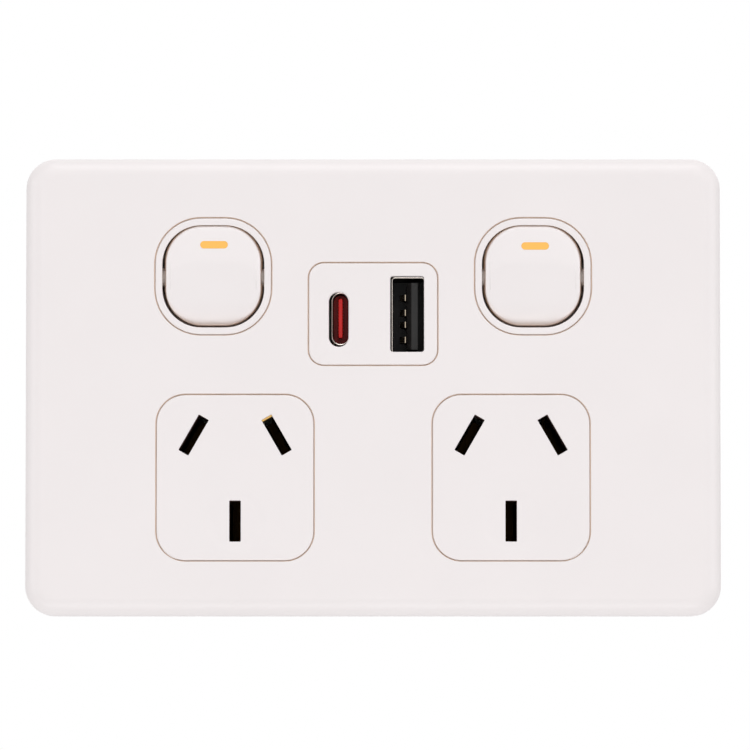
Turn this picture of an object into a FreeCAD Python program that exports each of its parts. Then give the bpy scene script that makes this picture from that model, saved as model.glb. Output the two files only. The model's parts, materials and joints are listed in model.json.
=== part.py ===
import FreeCAD, Part
import math
import os
from types import SimpleNamespace

import Sketcher

# Double switched wall socket with a USB-A and a USB-C charging port.
# The origin is the centre of the plate on the wall plane. The front looks
# along -Y and +Z is up. Depths below are measured forward of the wall, so a
# depth d lies at Y = -d, and depths behind the wall are negative.

DIMENSIONS = {
    # Clip-on cover plate
    "plate_width": 115.4,
    "plate_height": 76.0,
    "plate_corner": 5.0,
    "plate_depth": 10.0,
    "plate_edge_round": 3.0,
    "cover_wall": 1.8,
    "wall_clearance": 0.3,
    "collar_wall": 1.2,
    "insert_gap": 0.2,
    "clip_spread": 60.0,
    "clip_width": 10.0,
    "clip_height": 1.6,
    "clip_depth_low": 1.0,
    "clip_bite": 0.5,
    "notch_width": 8.0,
    "notch_depth": 1.2,
    # Mounting frame behind the cover
    "frame_margin": 3.0,
    "frame_corner": 3.5,
    "frame_front": 4.5,
    "web_thickness": 2.0,
    "frame_wall": 1.6,
    "frame_fit": 0.15,
    "fixing_spacing": 84.0,
    "fixing_slot_width": 4.2,
    "fixing_slot_length": 7.0,
    "fixing_boss_radius": 5.0,
    "flange_reach": 0.5,
    "flange_thickness": 1.2,
    # Socket outlet faces
    "socket_spacing": 45.7,
    "socket_drop": 15.08,
    "socket_width": 26.0,
    "socket_height": 27.4,
    "socket_corner": 4.8,
    "socket_wall": 1.6,
    "socket_front_wall": 2.6,
    "slot_width": 1.9,
    "slot_length": 6.8,
    "slot_tilt": 30.0,
    "live_slot_side": 6.87,
    "live_slot_rise": 7.05,
    "earth_slot_drop": 7.2,
    "tunnel_wall": 1.1,
    "dish_diameter": 11.0,
    "dish_depth": 0.25,
    # Switch housings and rockers
    "switch_spacing": 53.0,
    "switch_rise": 18.3,
    "bezel_width": 19.2,
    "bezel_height": 19.3,
    "bezel_corner": 7.6,
    "bezel_ring": 1.15,
    "bezel_edge_bevel": 0.35,
    "switch_box_back": -4.2,
    "switch_box_width": 14.0,
    "switch_box_wall": 1.2,
    "pivot_depth": 7.6,
    "rocker_tilt": 7.0,
    "rocker_width": 15.5,
    "rocker_top_reach": 8.3,
    "rocker_bottom_reach": 7.9,
    "rocker_corner": 6.0,
    "rocker_proud": 2.7,
    "rocker_rim_proud": 1.3,
    "rocker_flat_top": 3.0,
    "rocker_flat_bottom": 4.9,
    "rocker_skirt": 4.0,
    "rocker_wall": 1.2,
    "rocker_draft": 4.0,
    "rocker_face_thickness": 2.0,
    "rocker_hollow_relief": 0.5,
    "facet_overrun": 1.0,
    "ridge_round": 6.0,
    "rocker_edge_bevel": 0.5,
    "trunnion_diameter": 3.0,
    "trunnion_fit": 0.06,
    "trunnion_engagement": 0.6,
    "mark_length": 4.6,
    "mark_height": 1.24,
    "mark_rise": 5.4,
    "mark_depth": 0.8,
    "sleeve_diameter": 4.6,
    "sleeve_length": 9.5,
    "plunger_diameter": 2.6,
    "plunger_fit": 0.1,
    "plunger_reach": 13.1,
    "plunger_length": 7.5,
    "plunger_bevel": 0.9,
    "spring_wire": 0.35,
    "spring_turns": 5.0,
    "spring_seat": 1.6,
    # See-saw contacts
    "contact_tilt": 8.0,
    "contact_gap": 0.05,
    "contact_length": 12.4,
    "contact_width": 4.4,
    "contact_thickness": 0.6,
    "contact_crown": 0.9,
    "fulcrum_radius": 0.5,
    "fulcrum_fit": 0.06,
    "tip_diameter": 3.0,
    "tip_height": 0.5,
    "tip_arm": 4.6,
    "tip_clearance": 0.1,
    # Current-carrying strips and socket clips
    "strip_thickness": 0.8,
    "strip_depth": -10.6,
    "strip_height": 2.8,
    "riser_width": 3.4,
    "neutral_strip_height": -1.8,
    "active_strip_height": 4.0,
    "earth_strip_height": -15.4,
    "tail_width": 2.4,
    "tail_offset": 4.8,
    "leaf_thickness": 0.5,
    "leaf_width": 6.0,
    "leaf_mouth_gap": 3.0,
    "leaf_throat_gap": 1.3,
    "leaf_root_gap": 2.4,
    "leaf_mouth_depth": 1.0,
    "leaf_throat_depth": -2.5,
    # Terminals
    "terminal_spacing": 19.2,
    "terminal_width": 7.0,
    "terminal_back": -22.0,
    "wire_hole_diameter": 4.2,
    "wire_hole_depth": -18.0,
    "terminal_screw_diameter": 2.9,
    "terminal_screw_head": 5.0,
    "terminal_screw_head_height": 1.2,
    "terminal_screw_bite": 1.6,
    "shroud_wall": 1.5,
    "shroud_back": -20.5,
    "terminal_fit": 0.15,
    # Rear housing
    "housing_width": 72.0,
    "housing_above_switch": 8.4,
    "housing_below_socket": 12.2,
    "housing_corner": 2.5,
    "housing_wall": 1.2,
    "housing_back_wall": 1.8,
    "tower_width": 27.0,
    "tower_height": 14.8,
    "tower_back": -25.0,
    "tower_wall": 1.5,
    "tower_lift": 1.35,
    "spigot_wall": 0.7,
    "spigot_fit": 0.1,
    "post_width": 5.6,
    "post_start": -3.0,
    "post_hole": 2.8,
    "top_screw_spread": 27.6,
    "screw_inset": 3.6,
    "screw_boss_width": 4.4,
    "screw_diameter": 2.5,
    "screw_head": 4.4,
    "screw_head_height": 1.6,
    "screw_head_fit": 0.25,
    "screw_thread_depth": 1.0,
    "screw_fit": 0.05,
    # USB charging module
    "usb_rise": 12.05,
    "usb_width": 21.3,
    "usb_height": 16.9,
    "usb_corner": 2.5,
    "usb_wall": 1.4,
    "usb_front_wall": 1.8,
    "usb_board_depth": -5.0,
    "usb_board_thickness": 1.6,
    "port_setback": 0.1,
    "port_sheet": 0.3,
    "usb_a_side": 5.65,
    "usb_a_opening_width": 5.6,
    "usb_a_opening_height": 12.6,
    "usb_a_shell_width": 5.72,
    "usb_a_shell_height": 13.1,
    "usb_a_shell_shift": 0.2,
    "usb_a_shell_drop": 0.25,
    "usb_a_tongue_thickness": 1.84,
    "usb_a_tongue_height": 11.1,
    "usb_a_tongue_gap": 1.0,
    "usb_a_tongue_front": 7.5,
    "usb_a_tongue_bevel": 0.8,
    "usb_a_block_front": -1.5,
    "usb_a_contact_width": 1.0,
    "usb_a_contact_pitch": 2.0,
    "usb_a_contact_outer": 2.5,
    "usb_c_side": 5.7,
    "usb_c_drop": 0.9,
    "usb_c_opening_width": 3.25,
    "usb_c_opening_height": 9.1,
    "usb_c_shell_width": 3.16,
    "usb_c_shell_height": 8.94,
    "usb_c_shell_shift": 0.3,
    "usb_c_shell_rise": 0.2,
    "usb_c_tongue_thickness": 0.7,
    "usb_c_tongue_height": 6.5,
    "usb_c_tongue_front": 7.4,
    "usb_c_block_front": 4.6,
    "port_block_fit": 0.05,
    "usb_c_contact_width": 0.25,
    "usb_c_contact_pitch": 0.5,
    "contact_foil": 0.12,
    # Power supply behind the ports
    "transformer_side": 5.5,
    "transformer_width": 11.0,
    "transformer_height": 9.6,
    "transformer_depth": 11.0,
    "core_band": 5.6,
    "winding_inset": 0.6,
    "input_capacitor_diameter": 8.0,
    "input_capacitor_length": 13.0,
    "input_capacitor_side": 4.4,
    "input_capacitor_rise": 0.5,
    "output_capacitor_diameter": 3.2,
    "output_capacitor_length": 7.0,
    "small_part_side": 9.6,
    "output_capacitor_drop": 3.9,
    "bridge_width": 2.2,
    "bridge_height": 4.4,
    "bridge_depth": 2.2,
    "bridge_rise": 3.6,
    "chip_width": 3.8,
    "chip_height": 4.8,
    "chip_depth": 1.5,
    "lead_diameter": 1.3,
    "active_lead_side": 8.8,
    "neutral_lead_side": 4.4,
    "lead_start_drop": 4.45,
    "active_lead_drop": 0.6,
}

document = FreeCAD.newDocument("WallSocket")


def fill_sheet(values):
    """Spreadsheet with one named cell for each driving dimension."""
    sheet = document.addObject("Spreadsheet::Sheet", "Sheet")
    for row, (name, value) in enumerate(values.items(), start=1):
        sheet.set("A%d" % row, name)
        sheet.set("B%d" % row, str(value))
        sheet.setAlias("B%d" % row, name)
    document.recompute()
    return sheet


class Size:
    """A length or angle: its present value, and the cell formula it comes from."""

    def __init__(self, value, formula):
        self.value = value
        self.formula = formula

    def __add__(self, other):
        other = size(other)
        return Size(self.value + other.value, "(%s + %s)" % (self.formula, other.formula))

    def __sub__(self, other):
        other = size(other)
        return Size(self.value - other.value, "(%s - %s)" % (self.formula, other.formula))

    def __mul__(self, other):
        other = size(other)
        return Size(self.value * other.value, "(%s * %s)" % (self.formula, other.formula))

    def __truediv__(self, other):
        other = size(other)
        return Size(self.value / other.value, "(%s / %s)" % (self.formula, other.formula))

    def __radd__(self, other):
        return size(other) + self

    def __rsub__(self, other):
        return size(other) - self

    def __rmul__(self, other):
        return size(other) * self

    def __neg__(self):
        return size(0) - self


def size(value):
    """A plain number as a Size."""
    if isinstance(value, Size):
        return value
    return Size(float(value), "(%r)" % float(value))


def cosine(angle):
    return Size(math.cos(math.radians(angle.value)), "cos(%s * 1 deg)" % angle.formula)


def sine(angle):
    return Size(math.sin(math.radians(angle.value)), "sin(%s * 1 deg)" % angle.formula)


def bind(thing, path, length):
    """Bind one property of an object to the cells behind a size."""
    length = size(length)
    thing.setExpression(path, length.formula)


fill_sheet(DIMENSIONS)
s = SimpleNamespace(**{name: Size(value, "Sheet." + name) for name, value in DIMENSIONS.items()})

pieces = []

SPRING_STEPS = 6
BEND_STEPS = 3
LEAD_SIDES = 6
USB_C_CONTACTS = 12


# Sketches

def new_body(name, x=0, depth=0, z=0, tilt=None):
    """Body with its origin at x, depth and z, turned by tilt about the X axis."""
    body = document.addObject("PartDesign::Body", name)
    body.Label = name
    angle = tilt.value if tilt is not None else 0
    base = FreeCAD.Vector(size(x).value, -size(depth).value, size(z).value)
    body.Placement = FreeCAD.Placement(base, FreeCAD.Rotation(FreeCAD.Vector(1, 0, 0), angle))
    bind(body, ".Placement.Base.x", x)
    bind(body, ".Placement.Base.y", -size(depth))
    bind(body, ".Placement.Base.z", z)
    if tilt is not None:
        bind(body, ".Placement.Rotation.Angle", tilt)
    pieces.append(body)
    return body


def new_sketch(body, role, across, up, out, turn=None):
    """Sketch on an origin plane, moved across, up and out along its normal."""
    drawing = body.newObject("Sketcher::SketchObject", "Sketch")
    plane = next(item for item in body.Origin.OriginFeatures if item.Role == role)
    drawing.AttachmentSupport = [(plane, "")]
    drawing.MapMode = "FlatFace"
    base = FreeCAD.Vector(size(across).value, size(up).value, size(out).value)
    angle = turn.value if turn is not None else 0
    drawing.AttachmentOffset = FreeCAD.Placement(
        base, FreeCAD.Rotation(FreeCAD.Vector(0, 0, 1), angle))
    bind(drawing, ".AttachmentOffset.Base.x", across)
    bind(drawing, ".AttachmentOffset.Base.y", up)
    bind(drawing, ".AttachmentOffset.Base.z", out)
    if turn is not None:
        bind(drawing, ".AttachmentOffset.Rotation.Angle", turn)
    return drawing


def front_sketch(body, depth, x=0, z=0, turn=None):
    """Sketch facing the front: X to the right, Z up."""
    return new_sketch(body, "XZ_Plane", x, z, depth, turn)


def side_sketch(body, x=0, depth=0, z=0):
    """Sketch facing +X: its own X runs back along +Y, and Z is up."""
    return new_sketch(body, "YZ_Plane", -size(depth), z, x)


def plan_sketch(body, z=0, x=0, depth=0):
    """Sketch facing up: X to the right, its own Y runs back along +Y."""
    return new_sketch(body, "XY_Plane", x, -size(depth), z)


def vector(across, up):
    return FreeCAD.Vector(size(across).value, size(up).value, 0)


def constrain(drawing, length, *terms):
    """Dimensional constraint bound to a size."""
    length = size(length)
    index = drawing.addConstraint(Sketcher.Constraint(*terms, length.value))
    bind(drawing, "Constraints[%d]" % index, length)


def polygon(drawing, corners):
    """Closed outline of straight lines through corners given as two sizes each."""
    count = len(corners)
    for index, corner in enumerate(corners):
        following = corners[(index + 1) % count]
        drawing.addGeometry(Part.LineSegment(vector(*corner), vector(*following)), False)
    for index in range(count):
        drawing.addConstraint(Sketcher.Constraint("Coincident", index, 2, (index + 1) % count, 1))
    for index, corner in enumerate(corners):
        constrain(drawing, corner[0], "DistanceX", -1, 1, index, 1)
        constrain(drawing, corner[1], "DistanceY", -1, 1, index, 1)
    return drawing


def rectangle(drawing, width, height, shift=0):
    """Rectangle about the sketch origin, or shifted across it."""
    left = shift - size(width) / 2
    right = shift + size(width) / 2
    top = size(height) / 2
    return polygon(drawing, [(left, -top), (right, -top), (right, top), (left, top)])


def rounded_rectangle(drawing, width, height, radius):
    """Rectangle about the sketch origin with four equal round corners."""
    half_width = size(width) / 2
    half_height = size(height) / 2
    inner_x = (half_width - radius).value
    inner_y = (half_height - radius).value
    w, h, r = half_width.value, half_height.value, size(radius).value
    normal = FreeCAD.Vector(0, 0, 1)
    sides = [
        ((-inner_x, -h), (inner_x, -h)),
        ((w, -inner_y), (w, inner_y)),
        ((inner_x, h), (-inner_x, h)),
        ((-w, inner_y), (-w, -inner_y)),
    ]
    for start, end in sides:
        drawing.addGeometry(Part.LineSegment(vector(*start), vector(*end)), False)
    centres = [(inner_x, -inner_y), (inner_x, inner_y), (-inner_x, inner_y), (-inner_x, -inner_y)]
    for index, centre in enumerate(centres):
        start = math.radians(270 + 90 * index)
        circle_line = Part.Circle(vector(*centre), normal, r)
        drawing.addGeometry(Part.ArcOfCircle(circle_line, start, start + math.pi / 2), False)
    for index in range(4):
        drawing.addConstraint(Sketcher.Constraint("Tangent", index, 2, index + 4, 1))
        drawing.addConstraint(Sketcher.Constraint("Tangent", index + 4, 2, (index + 1) % 4, 1))
    for index in (0, 2):
        drawing.addConstraint(Sketcher.Constraint("Horizontal", index))
    for index in (1, 3):
        drawing.addConstraint(Sketcher.Constraint("Vertical", index))
    for index in (5, 6, 7):
        drawing.addConstraint(Sketcher.Constraint("Equal", 4, index))
    constrain(drawing, radius, "Radius", 4)
    constrain(drawing, half_width, "DistanceX", -1, 1, 1, 1)
    constrain(drawing, half_width, "DistanceX", 3, 1, -1, 1)
    constrain(drawing, half_height, "DistanceY", -1, 1, 2, 1)
    constrain(drawing, half_height, "DistanceY", 0, 1, -1, 1)
    return drawing


def stadium(drawing, width, height):
    """Slot about the sketch origin with full-round ends, long side upright."""
    radius = size(width) / 2
    reach = size(height) / 2 - radius
    r, y = radius.value, reach.value
    normal = FreeCAD.Vector(0, 0, 1)
    drawing.addGeometry(Part.LineSegment(vector(r, -y), vector(r, y)), False)
    drawing.addGeometry(Part.ArcOfCircle(Part.Circle(vector(0, y), normal, r), 0, math.pi), False)
    drawing.addGeometry(Part.LineSegment(vector(-r, y), vector(-r, -y)), False)
    lower = Part.Circle(vector(0, -y), normal, r)
    drawing.addGeometry(Part.ArcOfCircle(lower, math.pi, 2 * math.pi), False)
    for index in range(4):
        drawing.addConstraint(Sketcher.Constraint("Tangent", index, 2, (index + 1) % 4, 1))
    drawing.addConstraint(Sketcher.Constraint("Vertical", 0))
    drawing.addConstraint(Sketcher.Constraint("Equal", 1, 3))
    constrain(drawing, radius, "Radius", 1)
    drawing.addConstraint(Sketcher.Constraint("PointOnObject", 1, 3, -2))
    constrain(drawing, reach, "DistanceY", -1, 1, 1, 3)
    constrain(drawing, reach, "DistanceY", 3, 3, -1, 1)
    return drawing


def circle(drawing, diameter):
    """Circle about the sketch origin."""
    radius = size(diameter) / 2
    normal = FreeCAD.Vector(0, 0, 1)
    drawing.addGeometry(Part.Circle(FreeCAD.Vector(0, 0, 0), normal, radius.value), False)
    drawing.addConstraint(Sketcher.Constraint("Coincident", 0, 3, -1, 1))
    constrain(drawing, radius, "Radius", 0)
    return drawing


# Features

def extrude(body, kind, drawing, length, backward, draft):
    feature = body.newObject("PartDesign::" + kind, kind)
    feature.Profile = drawing
    feature.Length = size(length).value
    bind(feature, "Length", length)
    feature.Reversed = backward
    if draft is not None:
        feature.TaperAngle = draft.value
        bind(feature, "TaperAngle", draft)
    return feature


def pad(body, drawing, length, backward=False, draft=None):
    """Material from the sketch towards its normal, or backward."""
    return extrude(body, "Pad", drawing, length, backward, draft)


def cut(body, drawing, length, forward=False, draft=None):
    """Pocket from the sketch against its normal, or forward along it."""
    return extrude(body, "Pocket", drawing, length, forward, draft)


def cut_across(body, drawing, length):
    """Pocket to both sides of the sketch, half the length each way."""
    feature = extrude(body, "Pocket", drawing, length, False, None)
    feature.SideType = "Symmetric"
    return feature


def pad_across(body, drawing, length):
    """Material to both sides of the sketch, half the length each way."""
    feature = extrude(body, "Pad", drawing, length, False, None)
    feature.SideType = "Symmetric"
    return feature


def loft(body, drawings):
    """Material that runs straight from each sketch to the next."""
    feature = body.newObject("PartDesign::AdditiveLoft", "Loft")
    feature.Profile = drawings[0]
    feature.Sections = drawings[1:]
    feature.Ruled = True
    return feature


def round_edges(body, feature, chosen, radius):
    """Fillet on the chosen edge numbers of a feature."""
    fillet = body.newObject("PartDesign::Fillet", "Fillet")
    fillet.Base = (feature, ["Edge%d" % number for number in chosen])
    fillet.Radius = size(radius).value
    bind(fillet, "Radius", radius)
    return fillet


def bevel_edges(body, feature, chosen, width):
    """Chamfer on the chosen edge numbers of a feature."""
    chamfer = body.newObject("PartDesign::Chamfer", "Chamfer")
    chamfer.Base = (feature, ["Edge%d" % number for number in chosen])
    chamfer.Size = size(width).value
    bind(chamfer, "Size", width)
    return chamfer


def edges_at_depth(feature, depth):
    """Numbers of the edges that lie in the plane at a depth."""
    place = -size(depth).value
    chosen = []
    for number, edge in enumerate(feature.Shape.Edges, start=1):
        box = edge.BoundBox
        if abs(box.YMin - place) < 0.001 and abs(box.YMax - place) < 0.001:
            chosen.append(number)
    return chosen


def front_faces(feature):
    """Faces that look towards the front."""
    faces = []
    for face in feature.Shape.Faces:
        low_u, high_u, low_v, high_v = face.ParameterRange
        normal = face.normalAt((low_u + high_u) / 2, (low_v + high_v) / 2)
        if normal.y < -0.85 and face.BoundBox.YMin < 0:
            faces.append(face)
    return faces


def edges_of(feature, faces, times):
    """Numbers of the edges that a set of faces uses the given number of times."""
    chosen = []
    for number, edge in enumerate(feature.Shape.Edges, start=1):
        used = sum(any(edge.isSame(other) for other in face.Edges) for face in faces)
        if used == times:
            chosen.append(number)
    return chosen


# Cover plate

def build_cover_plate():
    """Clip-on cover with a rounded front edge, collars and snap beads."""
    body = new_body("cover_plate")
    depth = s.plate_depth - s.wall_clearance
    outline = front_sketch(body, s.wall_clearance)
    block = pad(body, rounded_rectangle(outline, s.plate_width, s.plate_height, s.plate_corner), depth)
    document.recompute()
    round_edges(body, block, edges_at_depth(block, s.plate_depth), s.plate_edge_round)
    inside = front_sketch(body, s.wall_clearance)
    inner_width = s.plate_width - 2 * s.cover_wall
    inner_height = s.plate_height - 2 * s.cover_wall
    rounded_rectangle(inside, inner_width, inner_height, s.plate_corner - s.cover_wall)
    cut(body, inside, depth - s.cover_wall, forward=True)
    for x, z, width, height, corner in insert_outlines():
        grow = 2 * (s.insert_gap + s.collar_wall)
        collar = front_sketch(body, s.frame_front, x, z)
        rounded_rectangle(collar, width + grow, height + grow, corner + grow / 2)
        pad(body, collar, s.plate_depth - s.cover_wall / 2 - s.frame_front)
    for x, z, width, height, corner in insert_outlines():
        grow = 2 * s.insert_gap
        opening = front_sketch(body, s.plate_depth, x, z)
        rounded_rectangle(opening, width + grow, height + grow, corner + grow / 2)
        cut(body, opening, depth)
    for side in (-1, 1):
        for up in (-1, 1):
            skin = up * inner_height / 2
            tip = up * (frame_height() / 2 - s.clip_bite)
            middle = s.clip_depth_low + s.clip_height / 2
            top = s.clip_depth_low + s.clip_height
            bead = side_sketch(body, side * s.clip_spread / 2)
            sunk = skin + up * s.cover_wall / 2
            polygon(bead, [(-s.clip_depth_low, sunk), (-s.clip_depth_low, skin), (-middle, tip),
                           (-top, skin), (-top, sunk)])
            pad_across(body, bead, s.clip_width)
    notch = front_sketch(body, s.wall_clearance, 0, -s.plate_height / 2)
    rectangle(notch, s.notch_width, 3 * s.cover_wall)
    cut(body, notch, s.notch_depth, forward=True)
    return body


def insert_outlines():
    """Centre, size and corner of each insert that shows through the cover."""
    rows = []
    for side in (-1, 1):
        rows.append((side * s.socket_spacing / 2, -s.socket_drop,
                     s.socket_width, s.socket_height, s.socket_corner))
        rows.append((side * s.switch_spacing / 2, s.switch_rise,
                     s.bezel_width, s.bezel_height, s.bezel_corner))
    rows.append((size(0), s.usb_rise, s.usb_width, s.usb_height, s.usb_corner))
    return rows


# Mounting frame

def frame_width():
    return s.plate_width - 2 * s.frame_margin


def frame_height():
    return s.plate_height - 2 * s.frame_margin


def web_back():
    return s.frame_front - s.web_thickness


def screw_places():
    """Centres of the screws that hold the rear housing to the frame."""
    places = [(side * s.top_screw_spread / 2, housing_top() - s.screw_inset) for side in (-1, 1)]
    places.append((size(0), housing_bottom() + s.screw_inset))
    return places


def build_mounting_frame():
    """Tray-shaped frame that is screwed to the wall box and carries every insert."""
    body = new_body("mounting_frame")
    outline = front_sketch(body, 0)
    pad(body, rounded_rectangle(outline, frame_width(), frame_height(), s.frame_corner), s.frame_front)
    hollow = front_sketch(body, 0)
    rounded_rectangle(hollow, frame_width() - 2 * s.frame_wall, frame_height() - 2 * s.frame_wall,
                      s.frame_corner - s.frame_wall)
    cut(body, hollow, web_back(), forward=True)
    for side in (-1, 1):
        boss = front_sketch(body, 0, side * s.fixing_spacing / 2)
        pad(body, circle(boss, 2 * s.fixing_boss_radius), s.frame_front)
    for x, z in screw_places():
        boss = front_sketch(body, s.post_start, x, z)
        rectangle(boss, s.screw_boss_width, s.screw_boss_width)
        pad(body, boss, s.frame_front - s.post_start)
    for x, z, width, height, corner in insert_outlines():
        grow = 2 * s.frame_fit
        opening = front_sketch(body, s.frame_front, x, z)
        rounded_rectangle(opening, width + grow, height + grow, corner + grow / 2)
        cut(body, opening, s.frame_front)
    for side in (-1, 1):
        slot = front_sketch(body, s.frame_front, side * s.fixing_spacing / 2, 0, size(90))
        cut(body, stadium(slot, s.fixing_slot_width, s.fixing_slot_length), s.frame_front)
    for x, z in screw_places():
        pilot = front_sketch(body, s.post_start, x, z)
        circle(pilot, s.screw_diameter + 2 * s.screw_fit)
        cut(body, pilot, s.screw_thread_depth - s.post_start, forward=True)
    for side in (-1, 1):
        window = side_sketch(body, side * s.clip_spread / 2, s.clip_depth_low + s.clip_height / 2)
        rectangle(window, s.clip_height + 4 * s.frame_fit, 2 * frame_height())
        cut_across(body, window, s.clip_width + 4 * s.frame_fit)
    return body


def flange_back():
    return web_back() - s.flange_thickness


def housing_top():
    return s.switch_rise + s.housing_above_switch


def housing_bottom():
    return -s.socket_drop - s.housing_below_socket


def tower_rise():
    """Height of the power supply's centre, a little above the ports."""
    return s.usb_rise + s.tower_lift


def add_flange(body, width, height, corner):
    """Lips behind the web, on the straight sides, that keep an insert from being pulled out."""
    flange = front_sketch(body, flange_back())
    rectangle(flange, width + 2 * s.flange_reach, height - 2 * corner)
    pad(body, flange, s.flange_thickness)


# Socket faces

def slot_places():
    """Offset and tilt of the active, neutral and earth slots in a socket face."""
    return [(-s.live_slot_side, s.live_slot_rise, -s.slot_tilt),
            (s.live_slot_side, s.live_slot_rise, s.slot_tilt),
            (size(0), -s.earth_slot_drop, size(0))]


def build_socket_face(name, side):
    """Three-slot outlet face with guiding tunnels behind its slots."""
    body = new_body(name, side * s.socket_spacing / 2, 0, -s.socket_drop)
    back = flange_back()
    outline = front_sketch(body, back)
    rounded_rectangle(outline, s.socket_width, s.socket_height, s.socket_corner)
    pad(body, outline, s.plate_depth - back)
    add_flange(body, s.socket_width, s.socket_height, s.socket_corner)
    inside = front_sketch(body, back)
    rounded_rectangle(inside, s.socket_width - 2 * s.socket_wall, s.socket_height - 2 * s.socket_wall,
                      s.socket_corner - s.socket_wall)
    cut(body, inside, s.plate_depth - s.socket_front_wall - back, forward=True)
    for x, z, turn in slot_places():
        tunnel = front_sketch(body, back, x, z, turn)
        rectangle(tunnel, s.slot_width + 2 * s.tunnel_wall, s.slot_length + 2 * s.tunnel_wall)
        pad(body, tunnel, s.plate_depth - s.socket_front_wall / 2 - back)
    dish = front_sketch(body, s.plate_depth, 0, -s.earth_slot_drop)
    cut(body, circle(dish, s.dish_diameter), s.dish_depth)
    for x, z, turn in slot_places():
        slot = front_sketch(body, s.plate_depth, x, z, turn)
        cut(body, rectangle(slot, s.slot_width, s.slot_length), s.plate_depth - back)
    return body


# Switches

def build_switch_housing(name, side):
    """Bezel tube with bearings for the rocker, on a narrower box for its sleeve."""
    body = new_body(name, side * s.switch_spacing / 2, 0, s.switch_rise)
    outline = front_sketch(body, flange_back())
    rounded_rectangle(outline, s.bezel_width, s.bezel_height, s.bezel_corner)
    tube = pad(body, outline, s.plate_depth - flange_back())
    document.recompute()
    bevel_edges(body, tube, edges_at_depth(tube, s.plate_depth), s.bezel_edge_bevel)
    add_flange(body, s.bezel_width, s.bezel_height, s.bezel_corner)
    aperture = front_sketch(body, s.plate_depth)
    rounded_rectangle(aperture, s.bezel_width - 2 * s.bezel_ring, s.bezel_height - 2 * s.bezel_ring,
                      s.bezel_corner - s.bezel_ring)
    cut(body, aperture, s.plate_depth - flange_back() - s.switch_box_wall)
    box = front_sketch(body, s.switch_box_back)
    rectangle(box, s.switch_box_width, s.switch_box_width)
    pad(body, box, flange_back() - s.switch_box_back)
    shaft = front_sketch(body, s.switch_box_back)
    shaft_width = s.switch_box_width - 2 * s.switch_box_wall
    rectangle(shaft, shaft_width, shaft_width)
    cut(body, shaft, flange_back() + s.switch_box_wall - s.switch_box_back, forward=True)
    bearing = side_sketch(body, 0, s.pivot_depth)
    circle(bearing, s.trunnion_diameter + 2 * s.trunnion_fit)
    cut_across(body, bearing, s.bezel_width)
    return body


def rocker_body(name, side):
    """Body about the rocker's pivot, tilted into the ON position."""
    return new_body(name, side * s.switch_spacing / 2, s.pivot_depth, s.switch_rise, s.rocker_tilt)


def cut_facet(body, up, flat, reach):
    """Slope the face away from the edge of its flat middle, up or down."""
    front = s.rocker_proud + s.facet_overrun
    fall = (s.rocker_proud - s.rocker_rim_proud) / (reach - flat)
    beyond = s.rocker_rim_proud - s.facet_overrun * fall
    facet = side_sketch(body)
    polygon(facet, [(-s.rocker_proud, up * flat), (-front, up * flat),
                    (-front, up * (reach + s.facet_overrun)), (-beyond, up * (reach + s.facet_overrun))])
    cut_across(body, facet, 2 * s.rocker_width)


def build_rocker(name, side):
    """Rocker with three facets, trunnions, a skirt and the plunger sleeve."""
    body = rocker_body(name, side)
    height = s.rocker_top_reach + s.rocker_bottom_reach
    middle = (s.rocker_top_reach - s.rocker_bottom_reach) / 2
    outline = front_sketch(body, s.rocker_proud, 0, middle)
    rounded_rectangle(outline, s.rocker_width, height, s.rocker_corner)
    pad(body, outline, s.rocker_proud + s.rocker_skirt, backward=True, draft=-s.rocker_draft)
    cut_facet(body, 1, s.rocker_flat_top, s.rocker_top_reach)
    cut_facet(body, -1, s.rocker_flat_bottom, s.rocker_bottom_reach)
    document.recompute()
    faces = front_faces(body.Tip)
    round_edges(body, body.Tip, edges_of(body.Tip, faces, 2), s.ridge_round)
    document.recompute()
    faces = front_faces(body.Tip)
    bevel_edges(body, body.Tip, edges_of(body.Tip, faces, 1), s.rocker_edge_bevel)
    hollow = front_sketch(body, -s.rocker_skirt, 0, middle)
    shrink = 2 * (s.rocker_wall + s.rocker_hollow_relief)
    rounded_rectangle(hollow, s.rocker_width - shrink, height - shrink, s.rocker_corner - shrink / 2)
    cut(body, hollow, s.rocker_skirt + s.rocker_proud - s.rocker_face_thickness, forward=True)
    sleeve = front_sketch(body, -s.sleeve_length)
    circle(sleeve, s.sleeve_diameter)
    pad(body, sleeve, s.sleeve_length + s.rocker_rim_proud)
    bore = front_sketch(body, -s.sleeve_length)
    circle(bore, s.plunger_diameter + 2 * s.plunger_fit)
    cut(body, bore, s.sleeve_length - s.spring_seat, forward=True)
    reach = s.bezel_width / 2 - s.bezel_ring + s.trunnion_engagement
    root = s.rocker_width / 2 - s.rocker_wall
    right = side_sketch(body, root)
    pad(body, circle(right, s.trunnion_diameter), reach - root)
    left = side_sketch(body, -root)
    pad(body, circle(left, s.trunnion_diameter), reach - root, backward=True)
    recess = front_sketch(body, s.rocker_proud, 0, s.mark_rise, size(90))
    stadium(recess, s.mark_height, s.mark_length)
    cut(body, recess, s.rocker_proud - mark_back())
    return body


def mark_back():
    return s.rocker_proud - s.mark_depth - s.mark_height / 2


def build_rocker_mark(name, side):
    """Coloured inlay flush with the rocker's upper facet."""
    body = rocker_body(name, side)
    outline = front_sketch(body, mark_back(), 0, s.mark_rise, size(90))
    pad(body, stadium(outline, s.mark_height, s.mark_length), s.rocker_proud - mark_back())
    cut_facet(body, 1, s.rocker_flat_top, s.rocker_top_reach)
    return body


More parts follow.
